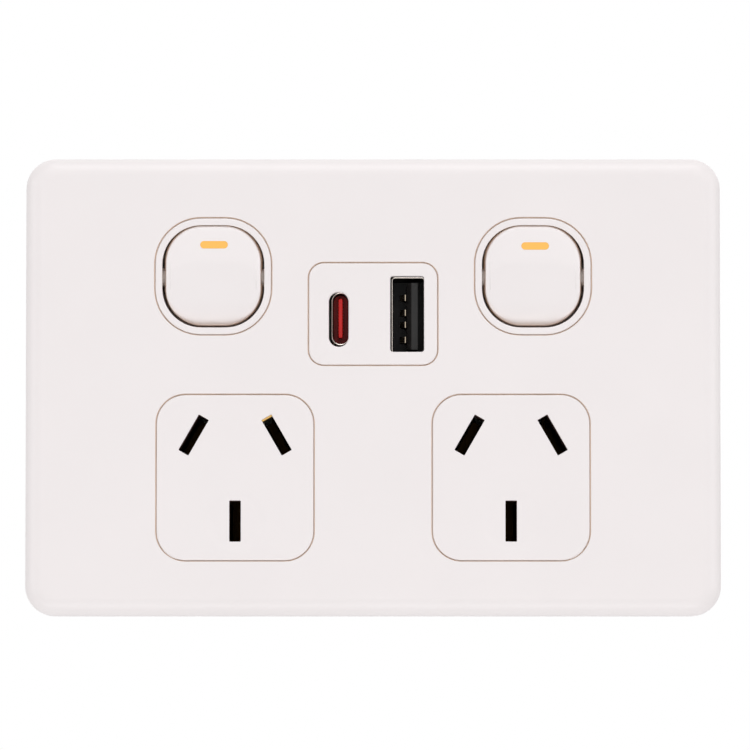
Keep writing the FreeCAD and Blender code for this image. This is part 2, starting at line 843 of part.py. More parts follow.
def build_plunger(name, side):
    """Sprung pin with a blunt nose, which pushes the see-saw contact over."""
    body = rocker_body(name, side)
    outline = front_sketch(body, -s.plunger_reach)
    pin = pad(body, circle(outline, s.plunger_diameter), s.plunger_length)
    document.recompute()
    rims = []
    for number, edge in enumerate(pin.Shape.Edges, start=1):
        box = edge.BoundBox
        if box.YLength < s.plunger_bevel.value and box.YMin > (s.plunger_reach - s.plunger_length).value:
            rims.append((box.YMin, number))
    bevel_edges(body, pin, [max(rims)[1]], s.plunger_bevel)
    return body


def build_spring(name, side):
    """Compression spring between the sleeve's seat and the plunger."""
    start = s.spring_seat + s.spring_wire
    end = s.plunger_reach - s.plunger_length - s.spring_wire
    radius = (s.plunger_diameter / 2 - s.spring_wire).value
    steps = int(s.spring_turns.value * SPRING_STEPS)
    points = []
    for step in range(steps + 1):
        angle = 2 * math.pi * step / SPRING_STEPS
        depth = -start.value - (end - start).value * step / steps
        points.append(FreeCAD.Vector(radius * math.cos(angle), -depth, radius * math.sin(angle)))
    path = Part.makePolygon(points)
    half = s.spring_wire.value / 2
    corners = []
    for out, along in ((-half, -half), (half, -half), (half, half), (-half, half), (-half, -half)):
        corners.append(points[0] + FreeCAD.Vector(out, along, 0))
    spring = document.addObject("Part::Feature", name)
    spring.Label = name
    spring.Shape = path.makePipeShell([Part.makePolygon(corners)], True, False, 1)
    base = FreeCAD.Vector((side * s.switch_spacing / 2).value, -s.pivot_depth.value, s.switch_rise.value)
    tilt = FreeCAD.Rotation(FreeCAD.Vector(1, 0, 0), s.rocker_tilt.value)
    spring.Placement = FreeCAD.Placement(base, tilt)
    pieces.append(spring)
    return spring


# Contacts

def fulcrum_depth():
    """Depth of the see-saw's axis, just clear of the plunger at its middle."""
    return s.pivot_depth - s.plunger_reach - s.contact_gap - s.contact_crown


def contact_body(name, side):
    """Body about the see-saw's axis, tilted against the rocker."""
    return new_body(name, side * s.switch_spacing / 2, fulcrum_depth(), s.switch_rise, -s.contact_tilt)


def build_moving_contact(name, side):
    """See-saw strip that rocks on the saddle of the active strip."""
    body = contact_body(name, side)
    half = s.contact_length / 2
    front = s.contact_crown
    back = s.contact_crown - s.contact_thickness
    profile = side_sketch(body)
    polygon(profile, [(-front, -half), (-front, half), (-back, half), (-back, -half)])
    pad_across(body, profile, s.contact_width)
    groove = side_sketch(body)
    circle(groove, 2 * (s.fulcrum_radius + s.fulcrum_fit))
    cut_across(body, groove, 2 * s.contact_width)
    return body


def build_moving_tip(name, side):
    """Silver contact button on the upper end of the see-saw."""
    body = contact_body(name, side)
    back = s.contact_crown - s.contact_thickness
    outline = front_sketch(body, back, 0, s.tip_arm)
    pad(body, circle(outline, s.tip_diameter), s.tip_height, backward=True)
    return body


def tail_front():
    """Depth of the fixed strip under the closed see-saw contact."""
    rear = s.contact_crown - s.contact_thickness - s.tip_height
    low = rear * cosine(s.contact_tilt) - (s.tip_arm + s.tip_diameter / 2) * sine(s.contact_tilt)
    return fulcrum_depth() + low - s.tip_clearance - s.tip_height


def build_fixed_tip(name, side):
    """Silver contact button on the tail of the active clip."""
    body = new_body(name, side * s.switch_spacing / 2, tail_front(), s.switch_rise + s.tip_arm)
    pad(body, circle(front_sketch(body, 0), s.tip_diameter), s.tip_height)
    return body


def add_clip(body, depth, x, z, turn):
    """Two sprung leaves that grip one pin, standing on a strip."""
    base_width = s.leaf_root_gap + 2 * s.leaf_thickness
    base = front_sketch(body, depth - s.strip_thickness, x, z, turn)
    pad(body, rectangle(base, base_width, s.leaf_width), s.strip_thickness)
    for hand in (-1, 1):
        sections = []
        for level, gap in ((depth, s.leaf_root_gap), (s.leaf_throat_depth, s.leaf_throat_gap),
                           (s.leaf_mouth_depth, s.leaf_mouth_gap)):
            section = front_sketch(body, level, x, z, turn)
            offset = hand * (gap + s.leaf_thickness) / 2
            sections.append(rectangle(section, s.leaf_thickness, s.leaf_width, offset))
        loft(body, sections)


def add_strip(body, depth, left, right, bottom, top):
    """Flat run of strip between two sides, with its front face at the depth."""
    run = front_sketch(body, depth - s.strip_thickness, (left + right) / 2, (bottom + top) / 2)
    pad(body, rectangle(run, right - left, top - bottom), s.strip_thickness)


def socket_pin(side, pin):
    """Place and tilt of one pin of a socket: 0 active, 1 neutral, 2 earth."""
    x, z, turn = slot_places()[pin]
    return side * s.socket_spacing / 2 + x, z - s.socket_drop, turn


def build_active_clip(name, side):
    """Active clip of one socket, with the tail that meets the switch."""
    body = new_body(name)
    depth = tail_front()
    x, z, turn = socket_pin(side, 0)
    switch = side * s.switch_spacing / 2
    lane = switch - s.tail_offset
    top = s.switch_rise + s.tip_arm + s.tip_diameter / 2
    half = s.tail_width / 2
    far = s.leaf_root_gap / 2
    left, right = (x - far, lane + half) if x.value < lane.value else (lane - half, x + far)
    add_strip(body, depth, left, right, z - half, z + half)
    add_strip(body, depth, lane - half, lane + half, z - half, top)
    add_strip(body, depth, lane - half, switch + s.tip_diameter / 2, top - s.tip_diameter, top)
    add_clip(body, depth, x, z, turn)
    return body


def build_pole_strip(name, pin, height):
    """Strip that joins one pole of both sockets."""
    body = new_body(name)
    left, z, turn = socket_pin(-1, pin)
    right = socket_pin(1, pin)[0]
    half = s.strip_height / 2
    grip = s.leaf_root_gap / 2
    add_strip(body, s.strip_depth, left - grip, right + grip, height - half, height + half)
    for x in (left, right):
        add_strip(body, s.strip_depth, x - grip, x + grip, z, height)
        add_clip(body, s.strip_depth, x, z, turn)
    return body


def build_active_strip():
    """Strip that feeds both switches, with a saddle under each see-saw."""
    body = new_body("active_strip")
    half = s.strip_height / 2
    reach = (s.switch_spacing + s.riser_width) / 2
    height = s.active_strip_height
    add_strip(body, s.strip_depth, -reach, reach, height - half, height + half)
    for side in (-1, 1):
        x = side * s.switch_spacing / 2
        half_riser = s.riser_width / 2
        add_strip(body, s.strip_depth, x - half_riser, x + half_riser, height,
                  s.switch_rise + s.fulcrum_radius)
        web = side_sketch(body, x, 0, s.switch_rise)
        polygon(web, [(-fulcrum_depth(), -s.fulcrum_radius), (-s.strip_depth, -s.fulcrum_radius),
                      (-s.strip_depth, s.fulcrum_radius), (-fulcrum_depth(), s.fulcrum_radius)])
        pad_across(body, web, s.riser_width)
        nose = side_sketch(body, x, fulcrum_depth(), s.switch_rise)
        pad_across(body, circle(nose, 2 * s.fulcrum_radius), s.riser_width)
    return body


# Terminals

def terminal_places():
    """Name, x and height of each terminal, on the strip that it serves."""
    return [("active_terminal", -s.terminal_spacing, s.active_strip_height),
            ("neutral_terminal", size(0), s.neutral_strip_height),
            ("earth_terminal", s.terminal_spacing, s.earth_strip_height)]


def strip_back():
    return s.strip_depth - s.strip_thickness


def build_terminal(name, x, z):
    """Brass block with an upright wire hole and a threaded hole behind."""
    body = new_body(name, x, 0, z)
    outline = front_sketch(body, s.terminal_back)
    pad(body, rectangle(outline, s.terminal_width, s.terminal_width), strip_back() - s.terminal_back)
    wire = plan_sketch(body, 0, 0, s.wire_hole_depth)
    circle(wire, s.wire_hole_diameter)
    cut_across(body, wire, 2 * s.terminal_width)
    thread = front_sketch(body, s.terminal_back)
    circle(thread, s.terminal_screw_diameter + 2 * s.screw_fit)
    cut(body, thread, s.wire_hole_depth - s.terminal_back, forward=True)
    return body


def cylinder_along_y(name, x, start, z, diameter, length):
    """Cylinder that runs forward from a depth."""
    rod = document.addObject("Part::Cylinder", name)
    bind(rod, "Radius", size(diameter) / 2)
    bind(rod, "Height", length)
    rod.Placement.Rotation = FreeCAD.Rotation(FreeCAD.Vector(1, 0, 0), 90)
    bind(rod, ".Placement.Base.x", x)
    bind(rod, ".Placement.Base.y", -size(start))
    bind(rod, ".Placement.Base.z", z)
    return rod


def block(name, x, back, z, width, depth, height):
    """Box centred on x and z that runs forward from a depth."""
    solid = document.addObject("Part::Box", name)
    bind(solid, "Length", width)
    bind(solid, "Width", depth)
    bind(solid, "Height", height)
    bind(solid, ".Placement.Base.x", x - size(width) / 2)
    bind(solid, ".Placement.Base.y", -(size(back) + depth))
    bind(solid, ".Placement.Base.z", z - size(height) / 2)
    return solid


def headed_screw(name, x, z, head_back, head, head_height, shank, shank_front):
    """Screw that points forward, its head at the back."""
    crown = cylinder_along_y(name + "_head", x, head_back, z, head, head_height)
    rod = cylinder_along_y(name + "_shank", x, head_back, z, shank, shank_front - head_back)
    screw = document.addObject("Part::Fuse", name)
    screw.Base = crown
    screw.Tool = rod
    return screw


def group(name, members):
    """Several separate solids under one name."""
    gathered = document.addObject("Part::Compound", name)
    gathered.Label = name
    gathered.Links = members
    pieces.append(gathered)
    return gathered


def build_terminal_screws():
    screws = []
    for name, x, z in terminal_places():
        head_back = s.terminal_back - s.terminal_screw_head_height
        screws.append(headed_screw(name + "_screw", x, z, head_back, s.terminal_screw_head,
                                   s.terminal_screw_head_height, s.terminal_screw_diameter,
                                   s.terminal_back + s.terminal_screw_bite - s.screw_fit))
    return group("terminal_screws", screws)


# Rear housing

def housing_back():
    return strip_back() - s.housing_back_wall


def well_width():
    return s.tower_width - 2 * s.tower_wall


def well_height():
    return s.tower_height - 2 * s.tower_wall


def build_rear_housing():
    """Tray behind the frame, with screw posts and openings for the terminals and the charger."""
    body = new_body("rear_housing")
    middle = (housing_top() + housing_bottom()) / 2
    height = housing_top() - housing_bottom()
    outline = front_sketch(body, housing_back(), 0, middle)
    rounded_rectangle(outline, s.housing_width, height, s.housing_corner)
    pad(body, outline, flange_back() - housing_back())
    inside = front_sketch(body, flange_back(), 0, middle)
    rounded_rectangle(inside, s.housing_width - 2 * s.housing_wall, height - 2 * s.housing_wall,
                      s.housing_corner - s.housing_wall)
    cut(body, inside, flange_back() - strip_back())
    opening = front_sketch(body, strip_back(), 0, tower_rise())
    grow = 2 * (s.spigot_wall + s.spigot_fit)
    rectangle(opening, well_width() + grow, well_height() + grow)
    cut(body, opening, s.housing_back_wall)
    for x, z in screw_places():
        post = front_sketch(body, housing_back(), x, z)
        pad(body, rectangle(post, s.post_width, s.post_width), s.post_start - housing_back())
    for name, x, z in terminal_places():
        seat = front_sketch(body, strip_back(), x, z)
        cut(body, rectangle(seat, seat_width(), seat_width()), s.housing_back_wall)
    for x, z in screw_places():
        hole = front_sketch(body, housing_back(), x, z)
        cut(body, circle(hole, s.post_hole), s.post_start - housing_back(), forward=True)
        seat = front_sketch(body, housing_back(), x, z)
        circle(seat, s.screw_head + 2 * s.screw_head_fit)
        cut(body, seat, s.screw_head_height, forward=True)
    return body


def seat_width():
    return s.terminal_width + 2 * s.terminal_fit


def build_terminal_shroud(name, x, z):
    """Wall round three sides of a terminal, open below where the wires go in."""
    body = new_body(name, x, 0, z)
    outline = front_sketch(body, s.shroud_back)
    inner = seat_width() / 2
    outer = inner + s.shroud_wall
    polygon(outline, [(-outer, -inner), (-inner, -inner), (-inner, inner), (inner, inner),
                      (inner, -inner), (outer, -inner), (outer, outer), (-outer, outer)])
    pad(body, outline, housing_back() - s.shroud_back)
    return body


def build_charger_housing():
    """Cup over the power supply, with a spigot that enters the rear housing."""
    body = new_body("charger_housing", 0, 0, tower_rise())
    cup = front_sketch(body, s.tower_back)
    pad(body, rectangle(cup, s.tower_width, s.tower_height), housing_back() - s.tower_back)
    spigot = front_sketch(body, housing_back())
    grow = 2 * s.spigot_wall
    rectangle(spigot, well_width() + grow, well_height() + grow)
    pad(body, spigot, s.housing_back_wall)
    well = front_sketch(body, strip_back())
    rectangle(well, well_width(), well_height())
    cut(body, well, strip_back() - s.tower_back - s.tower_wall)
    return body


def build_housing_screws():
    screws = []
    for number, (x, z) in enumerate(screw_places()):
        screws.append(headed_screw("housing_screw_%d" % number, x, z, housing_back(), s.screw_head,
                                   s.screw_head_height, s.screw_diameter,
                                   s.screw_thread_depth - s.screw_fit))
    return group("housing_screws", screws)


# USB module

def build_usb_insert():
    """Insert with the two port openings and a skirt that reaches the board."""
    body = new_body("usb_insert", 0, 0, s.usb_rise)
    outline = front_sketch(body, s.usb_board_depth)
    rounded_rectangle(outline, s.usb_width, s.usb_height, s.usb_corner)
    pad(body, outline, s.plate_depth - s.usb_board_depth)
    add_flange(body, s.usb_width, s.usb_height, s.usb_corner)
    inside = front_sketch(body, s.usb_board_depth)
    rounded_rectangle(inside, s.usb_width - 2 * s.usb_wall, s.usb_height - 2 * s.usb_wall,
                      s.usb_corner - s.usb_wall)
    cut(body, inside, s.plate_depth - s.usb_front_wall - s.usb_board_depth, forward=True)
    port_a = front_sketch(body, s.plate_depth, s.usb_a_side)
    cut(body, rectangle(port_a, s.usb_a_opening_width, s.usb_a_opening_height), s.usb_front_wall)
    port_c = front_sketch(body, s.plate_depth, -s.usb_c_side, -s.usb_c_drop)
    cut(body, stadium(port_c, s.usb_c_opening_width, s.usb_c_opening_height), s.usb_front_wall)
    return body


def port_front():
    return s.plate_depth - s.usb_front_wall - s.port_setback


def usb_a_centre():
    return s.usb_a_side + s.usb_a_shell_shift, s.usb_rise - s.usb_a_shell_drop


def usb_c_centre():
    return s.usb_c_shell_shift - s.usb_c_side, s.usb_rise - s.usb_c_drop + s.usb_c_shell_rise


def build_usb_a_shell():
    """Sheet-metal shell of the USB-A port, standing on the board."""
    x, z = usb_a_centre()
    body = new_body("usb_a_shell", x, 0, z)
    outline = front_sketch(body, s.usb_board_depth)
    rectangle(outline, s.usb_a_shell_width, s.usb_a_shell_height)
    pad(body, outline, port_front() - s.usb_board_depth)
    inside = front_sketch(body, port_front())
    rectangle(inside, s.usb_a_shell_width - 2 * s.port_sheet, s.usb_a_shell_height - 2 * s.port_sheet)
    cut(body, inside, port_front() - s.usb_board_depth)
    return body


def usb_a_tongue_middle():
    x, z = usb_a_centre()
    inner = x + s.usb_a_shell_width / 2 - s.port_sheet
    return inner - s.usb_a_tongue_gap - s.usb_a_tongue_thickness / 2, z


def build_usb_a_tongue():
    """Insulating tongue with a bevelled nose on a block that fills the shell's back."""
    x, z = usb_a_tongue_middle()
    body = new_body("usb_a_tongue", x, 0, z)
    block_sketch = front_sketch(body, s.usb_board_depth, usb_a_centre()[0] - x)
    shrink = 2 * (s.port_sheet + s.port_block_fit)
    rectangle(block_sketch, s.usb_a_shell_width - shrink, s.usb_a_shell_height - shrink)
    pad(body, block_sketch, s.usb_a_block_front - s.usb_board_depth)
    half = s.usb_a_tongue_thickness / 2
    front = s.usb_a_tongue_front
    profile = plan_sketch(body)
    polygon(profile, [(-half, -s.usb_a_block_front), (-half, -(front - s.usb_a_tongue_bevel)),
                      (-half + s.usb_a_tongue_bevel, -front), (half, -front),
                      (half, -s.usb_a_block_front)])
    pad_across(body, profile, s.usb_a_tongue_height)
    return body


def build_usb_a_contacts():
    """Four contact strips on the tongue's open side."""
    x, z = usb_a_tongue_middle()
    face = x - s.usb_a_tongue_thickness / 2 - s.contact_foil / 2
    front = s.usb_a_tongue_front - 2 * s.usb_a_tongue_bevel
    inner = s.usb_a_contact_pitch / 2
    outer = inner + s.usb_a_contact_outer
    strips = []
    for number, rise in enumerate((-outer, -inner, inner, outer)):
        strips.append(block("usb_a_contact_%d" % number, face, s.usb_a_block_front, z + rise,
                            s.contact_foil, front - s.usb_a_block_front, s.usb_a_contact_width))
    return group("usb_a_contacts", strips)


def build_usb_c_shell():
    """Drawn shell of the USB-C port with full-round ends."""
    x, z = usb_c_centre()
    body = new_body("usb_c_shell", x, 0, z)
    outline = front_sketch(body, s.usb_board_depth)
    pad(body, stadium(outline, s.usb_c_shell_width, s.usb_c_shell_height),
        port_front() - s.usb_board_depth)
    inside = front_sketch(body, port_front())
    stadium(inside, s.usb_c_shell_width - 2 * s.port_sheet, s.usb_c_shell_height - 2 * s.port_sheet)
    cut(body, inside, port_front() - s.usb_board_depth)
    return body


def build_usb_c_tongue():
    """Coloured tongue on the block that fills the back of the USB-C shell."""
    x, z = usb_c_centre()
    body = new_body("usb_c_tongue", x, 0, z)
    block_sketch = front_sketch(body, s.usb_board_depth)
    shrink = 2 * (s.port_sheet + s.port_block_fit)
    stadium(block_sketch, s.usb_c_shell_width - shrink, s.usb_c_shell_height - shrink)
    pad(body, block_sketch, s.usb_c_block_front - s.usb_board_depth)
    outline = front_sketch(body, s.usb_c_block_front)
    rectangle(outline, s.usb_c_tongue_thickness, s.usb_c_tongue_height)
    pad(body, outline, s.usb_c_tongue_front - s.usb_c_block_front)
    return body


def build_usb_c_contacts():
    """A row of contact strips on each side of the USB-C tongue."""
    x, z = usb_c_centre()
    offset = (s.usb_c_tongue_thickness + s.contact_foil) / 2
    front = s.usb_c_tongue_front - s.usb_c_contact_pitch
    strips = []
    for side in (-1, 1):
        for number in range(USB_C_CONTACTS):
            rise = (number - (USB_C_CONTACTS - 1) / 2) * s.usb_c_contact_pitch
            strips.append(block("usb_c_contact_%d_%d" % (side + 1, number), x + side * offset,
                                s.usb_c_block_front, z + rise, s.contact_foil,
                                front - s.usb_c_block_front, s.usb_c_contact_width))
    return group("usb_c_contacts", strips)


def board_back():
    return s.usb_board_depth - s.usb_board_thickness


def build_usb_board():
    """Circuit board that closes the insert's skirt and carries the ports."""
    body = new_body("usb_board", 0, 0, s.usb_rise)
    outline = front_sketch(body, board_back())
    pad(body, rectangle(outline, s.usb_width, s.usb_height), s.usb_board_thickness)
    return body


def build_transformer():
    """Winding block and the ferrite core band around it."""
    winding = new_body("transformer_winding", -s.transformer_side, 0, tower_rise())
    back = board_back() - s.transformer_depth
    inset = 2 * s.winding_inset
    outline = front_sketch(winding, back + s.winding_inset)
    rectangle(outline, s.transformer_width - inset, s.transformer_height - inset)
    pad(winding, outline, s.transformer_depth - s.winding_inset)
    core = new_body("transformer_core", -s.transformer_side, 0, tower_rise())
    frame = front_sketch(core, back)
    rectangle(frame, s.core_band, s.transformer_height)
    pad(core, frame, s.transformer_depth)
    window = front_sketch(core, board_back())
    rectangle(window, 2 * s.core_band, s.transformer_height - inset)
    cut(core, window, s.transformer_depth - s.winding_inset)


def build_cylinder_part(name, x, z, diameter, length):
    """Can capacitor standing on the back of the board."""
    body = new_body(name, x, 0, z)
    outline = front_sketch(body, board_back() - length)
    pad(body, circle(outline, diameter), length)


def build_small_parts():
    """Capacitors, bridge rectifier and control chip of the power supply."""
    build_cylinder_part("input_capacitor", s.input_capacitor_side, tower_rise() + s.input_capacitor_rise,
                        s.input_capacitor_diameter, s.input_capacitor_length)
    build_cylinder_part("output_capacitor", s.small_part_side, tower_rise() - s.output_capacitor_drop,
                        s.output_capacitor_diameter, s.output_capacitor_length)
    bridge = new_body("bridge_rectifier", s.small_part_side, 0, tower_rise() + s.bridge_rise)
    outline = front_sketch(bridge, board_back() - s.bridge_depth)
    pad(bridge, rectangle(outline, s.bridge_width, s.bridge_height), s.bridge_depth)
    chip = new_body("control_chip", 0, 0, s.usb_rise)
    outline = front_sketch(chip, s.usb_board_depth)
    pad(chip, rectangle(outline, s.chip_width, s.chip_height), s.chip_depth)


def lead_path(radius, start, end):
    """Corners of a lead's path, as depth and height, from the board to the strip."""
    corners = [(board_back(), start)]
    turns = [size(90 * step / BEND_STEPS) for step in range(1, BEND_STEPS)]
    for turn in turns:
        corners.append((board_back() - radius * sine(turn), start - radius + radius * cosine(turn)))
    for turn in reversed(turns):
        corners.append((s.strip_depth + radius * sine(turn), end + radius - radius * cosine(turn)))
    corners.append((s.strip_depth, end))
    return corners


def build_lead(name, x, start, end):
    """Insulated lead with two quarter bends from the board's back down to a strip."""
    body = new_body(name, x)
    radius = (board_back() - s.strip_depth) / 2
    corners = lead_path(radius, start, end)
    path = side_sketch(body)
    for (depth, height), (next_depth, next_height) in zip(corners, corners[1:]):
        path.addGeometry(Part.LineSegment(vector(-depth, height), vector(-next_depth, next_height)), False)
    for index in range(len(corners) - 2):
        path.addConstraint(Sketcher.Constraint("Coincident", index, 2, index + 1, 1))
    for index, (depth, height) in enumerate(corners):
        point = (index, 1) if index < len(corners) - 1 else (index - 1, 2)
        constrain(path, -depth, "DistanceX", -1, 1, *point)
        constrain(path, height, "DistanceY", -1, 1, *point)
    section = front_sketch(body, board_back(), 0, start)
    rim = []
    for corner in range(LEAD_SIDES):
        turn = size(360 * (corner + 0.5) / LEAD_SIDES)
        rim.append((s.lead_diameter / 2 * cosine(turn), s.lead_diameter / 2 * sine(turn)))
    polygon(section, rim)
    pipe = body.newObject("PartDesign::AdditivePipe", "Pipe")
    pipe.Profile = section
    pipe.Spine = (path, ["Edge%d" % (index + 1) for index in range(len(corners) - 1)])
    pipe.Transition = "Right corner"
    return body


# Assembly

build_cover_plate()
build_mounting_frame()
for hand, side in (("left", -1), ("right", 1)):
    build_socket_face("socket_face_" + hand, side)
    build_switch_housing("switch_housing_" + hand, side)
    build_rocker("rocker_" + hand, side)
    build_rocker_mark("rocker_mark_" + hand, side)
    build_plunger("plunger_" + hand, side)
    build_spring("switch_spring_" + hand, side)
    build_moving_contact("moving_contact_" + hand, side)
    build_moving_tip("moving_tip_" + hand, side)
    build_fixed_tip("fixed_tip_" + hand, side)
    build_active_clip("active_clip_" + hand, side)
build_active_strip()
build_pole_strip("neutral_strip", 1, s.neutral_strip_height)
build_pole_strip("earth_strip", 2, s.earth_strip_height)
for terminal, place_x, place_z in terminal_places():
    build_terminal(terminal, place_x, place_z)
build_terminal_screws()
build_rear_housing()
for pole, (terminal, place_x, place_z) in zip(("active", "neutral", "earth"), terminal_places()):
    build_terminal_shroud(pole + "_shroud", place_x, place_z)
build_charger_housing()
build_housing_screws()
build_usb_insert()
build_usb_a_shell()
build_usb_a_tongue()
build_usb_a_contacts()
build_usb_c_shell()
build_usb_c_tongue()
build_usb_c_contacts()
build_usb_board()
build_transformer()
build_small_parts()
active_lead_end = s.active_strip_height - s.active_lead_drop
lead_start = s.usb_rise - s.lead_start_drop
build_lead("active_lead", -s.active_lead_side, lead_start, active_lead_end)
build_lead("neutral_lead", s.neutral_lead_side, lead_start, s.neutral_strip_height)
document.recompute()


def check_document():
    """Stop if any object failed, or a cut removed nothing."""
    for item in document.Objects:
        if "Invalid" in item.State or "Error" in item.State:
            raise RuntimeError("%s failed: %s" % (item.Label, item.State))
        if item.TypeId == "PartDesign::Pocket":
            before = item.BaseFeature.Shape.Volume
            if item.Shape.Volume > before - 0.001:
                owner = item.getParentGeoFeatureGroup().Label
                raise RuntimeError("%s of %s cuts nothing" % (item.Label, owner))


def write_parts():
    """Write each piece to its own STEP file in the object's frame."""
    os.makedirs("parts", exist_ok=True)
    for piece in pieces:
        shape = piece.Shape
        if shape.isNull() or not shape.isValid():
            raise RuntimeError("%s has no valid shape" % piece.Label)
        shape.exportStep("parts/%s.step" % piece.Label)


check_document()
write_parts()
print("%d pieces" % len(pieces))
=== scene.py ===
import bmesh
import bpy
import json
import math
from mathutils import Matrix, Vector


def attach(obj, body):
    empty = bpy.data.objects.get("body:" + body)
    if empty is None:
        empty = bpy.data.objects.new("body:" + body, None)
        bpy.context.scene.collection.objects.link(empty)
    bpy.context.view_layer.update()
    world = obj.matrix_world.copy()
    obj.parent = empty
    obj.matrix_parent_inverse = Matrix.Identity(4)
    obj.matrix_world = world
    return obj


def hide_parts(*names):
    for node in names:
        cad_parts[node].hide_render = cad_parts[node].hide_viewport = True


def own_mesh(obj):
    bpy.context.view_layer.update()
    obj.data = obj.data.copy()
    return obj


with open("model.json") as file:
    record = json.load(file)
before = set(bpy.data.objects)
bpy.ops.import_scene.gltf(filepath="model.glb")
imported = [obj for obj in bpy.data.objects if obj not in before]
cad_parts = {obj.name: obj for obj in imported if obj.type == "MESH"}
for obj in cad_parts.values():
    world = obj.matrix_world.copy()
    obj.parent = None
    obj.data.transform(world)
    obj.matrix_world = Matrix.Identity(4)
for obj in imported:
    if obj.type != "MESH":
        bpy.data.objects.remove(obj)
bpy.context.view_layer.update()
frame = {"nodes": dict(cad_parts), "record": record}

MM = 0.001
CORNER_STEPS = 14
LEAST_RADIUS = 0.01
ROUND_SIDES = 40
SHARP_ANGLE = math.radians(38)

# Sizes in millimetres. A depth is measured forward of the wall plane.
# A size of three numbers is a width, a height and a corner radius.
PLATE = (115.4, 76.0, 5.0)
FACE_DEPTH = 10.0
FRAME_FRONT = 4.5
FLANGE_FRONT = 2.5
FLANGE_BACK = 1.3
FLANGE_REACH = 0.5
LIP_ROOT = 0.3
INSERT_EDGE = 0.3
SOCKET = (26.0, 27.4, 4.8)
SOCKET_PLACES = ((-22.85, -15.08), (22.85, -15.08))
BEZEL = (19.2, 19.3, 7.6)
SWITCH_PLACES = ((-26.5, 18.3), (26.5, 18.3))
USB = (21.3, 16.9, 2.5)
USB_RISE = 12.05
HANDS = ("left", "right")


# Outlines

def rounded(width, height, radius, steps=CORNER_STEPS):
    """Points of a rectangle with round corners, anticlockwise from the lower right corner."""
    radius = max(min(radius, width / 2, height / 2), LEAST_RADIUS)
    points = []
    for quarter, (side, up) in enumerate(((1, -1), (1, 1), (-1, 1), (-1, -1))):
        centre_x = side * (width / 2 - radius)
        centre_z = up * (height / 2 - radius)
        start = math.radians(-90 + 90 * quarter)
        for step in range(steps + 1):
            angle = start + math.pi / 2 * step / steps
            points.append((centre_x + radius * math.cos(angle), centre_z + radius * math.sin(angle)))
    return points


def grown(size, amount, steps=CORNER_STEPS):
    """Outline of a rounded rectangle, moved outward by an amount."""
    width, height, radius = size
    return rounded(width + 2 * amount, height + 2 * amount, radius + amount, steps)


def placed(points, x=0.0, z=0.0, turn=0.0):
    """Points turned about the origin, then moved. A positive turn is anticlockwise."""
    c, s = math.cos(math.radians(turn)), math.sin(math.radians(turn))
    return [(x + a * c - b * s, z + a * s + b * c) for a, b in points]


def ring(radius, count):
    """Points of a circle about the origin."""
    return [(radius * math.cos(2 * math.pi * i / count), radius * math.sin(2 * math.pi * i / count))
            for i in range(count)]


def rounding(radius, steps=6):
    """Pairs of inset and depth below the face, from the side wall to the face."""
    pairs = []
    for step in range(steps + 1):
        angle = math.pi / 2 * step / steps
        pairs.append((radius * (1 - math.cos(angle)), radius * (1 - math.sin(angle))))
    return pairs


# Meshes

class Form:
    """A mesh built from loops of points at given depths."""

    def __init__(self):
        self.bm = bmesh.new()

    def loop(self, points, depth):
        """Vertices for points at a depth."""
        return [self.bm.verts.new((x * MM, -depth * MM, z * MM)) for x, z in points]

    def skin(self, first, second, slot=0):
        """Faces from one loop to the next."""
        count = len(first)
        for i in range(count):
            j = (i + 1) % count
            face = self.bm.faces.new((first[i], first[j], second[j], second[i]))
            face.material_index = slot

    def chain(self, rows, closed=False, slots=()):
        """Skins through rows of points and depth. Returns the first and the last loop."""
        loops = [self.loop(points, depth) for points, depth in rows]
        slots = list(slots) + [0] * len(loops)
        for number, (first, second) in enumerate(zip(loops, loops[1:])):
            self.skin(first, second, slots[number])
        if closed:
            self.skin(loops[-1], loops[0])
        return loops[0], loops[-1]

    def capped(self, rows):
        """Skins through rows of points and depth, with a face at each end."""
        for loop in self.chain(rows):
            self.bm.faces.new(loop)

    def fill(self, *loops, slot=0):
        """Flat faces between loops, the first of them outermost."""
        edges = []
        for loop in loops:
            for i, vertex in enumerate(loop):
                other = loop[(i + 1) % len(loop)]
                edges.append(self.bm.edges.get((vertex, other)) or self.bm.edges.new((vertex, other)))
        made = bmesh.ops.triangle_fill(self.bm, use_beauty=True, use_dissolve=False, edges=edges)
        faces = [item for item in made["geom"] if isinstance(item, bmesh.types.BMFace)]
        for face in faces:
            face.material_index = slot
        return faces

    def finish(self, name, materials, matrix=None, weighted=True):
        """Object made of the form, smooth but for its sharp edges."""
        bm = self.bm
        bmesh.ops.recalc_face_normals(bm, faces=bm.faces)
        for face in bm.faces:
            face.smooth = True
        for edge in bm.edges:
            edge.smooth = not (len(edge.link_faces) == 2 and edge.calc_face_angle(0) > SHARP_ANGLE)
        mesh = bpy.data.meshes.new(name)
        bm.to_mesh(mesh)
        bm.free()
        if matrix is not None:
            mesh.transform(matrix)
        for material in materials:
            mesh.materials.append(material)
        piece = bpy.data.objects.new(name, mesh)
        bpy.context.scene.collection.objects.link(piece)
        if weighted:
            modifier = piece.modifiers.new("Weighted", "WEIGHTED_NORMAL")
            modifier.keep_sharp = True
            modifier.weight = 80
        return piece


def moved(x, z):
    """Matrix that moves a piece across the wall."""
    return Matrix.Translation((x * MM, 0, z * MM))


def add_block(form, low, high):
    """Box between two corners given as x, depth and height."""
    (x0, d0, z0), (x1, d1, z1) = low, high
    outline = [(x0, z0), (x1, z0), (x1, z1), (x0, z1)]
    form.capped([(outline, d0), (outline, d1)])


def add_lips(form, size):
    """Retaining lips on the straight sides of an insert."""
    width, height, radius = size
    half = height / 2 - radius
    for side in (-1, 1):
        near, far = side * (width / 2 - LIP_ROOT), side * (width / 2 + FLANGE_REACH)
        add_block(form, (near, FLANGE_BACK, -half), (far, FLANGE_FRONT, half))


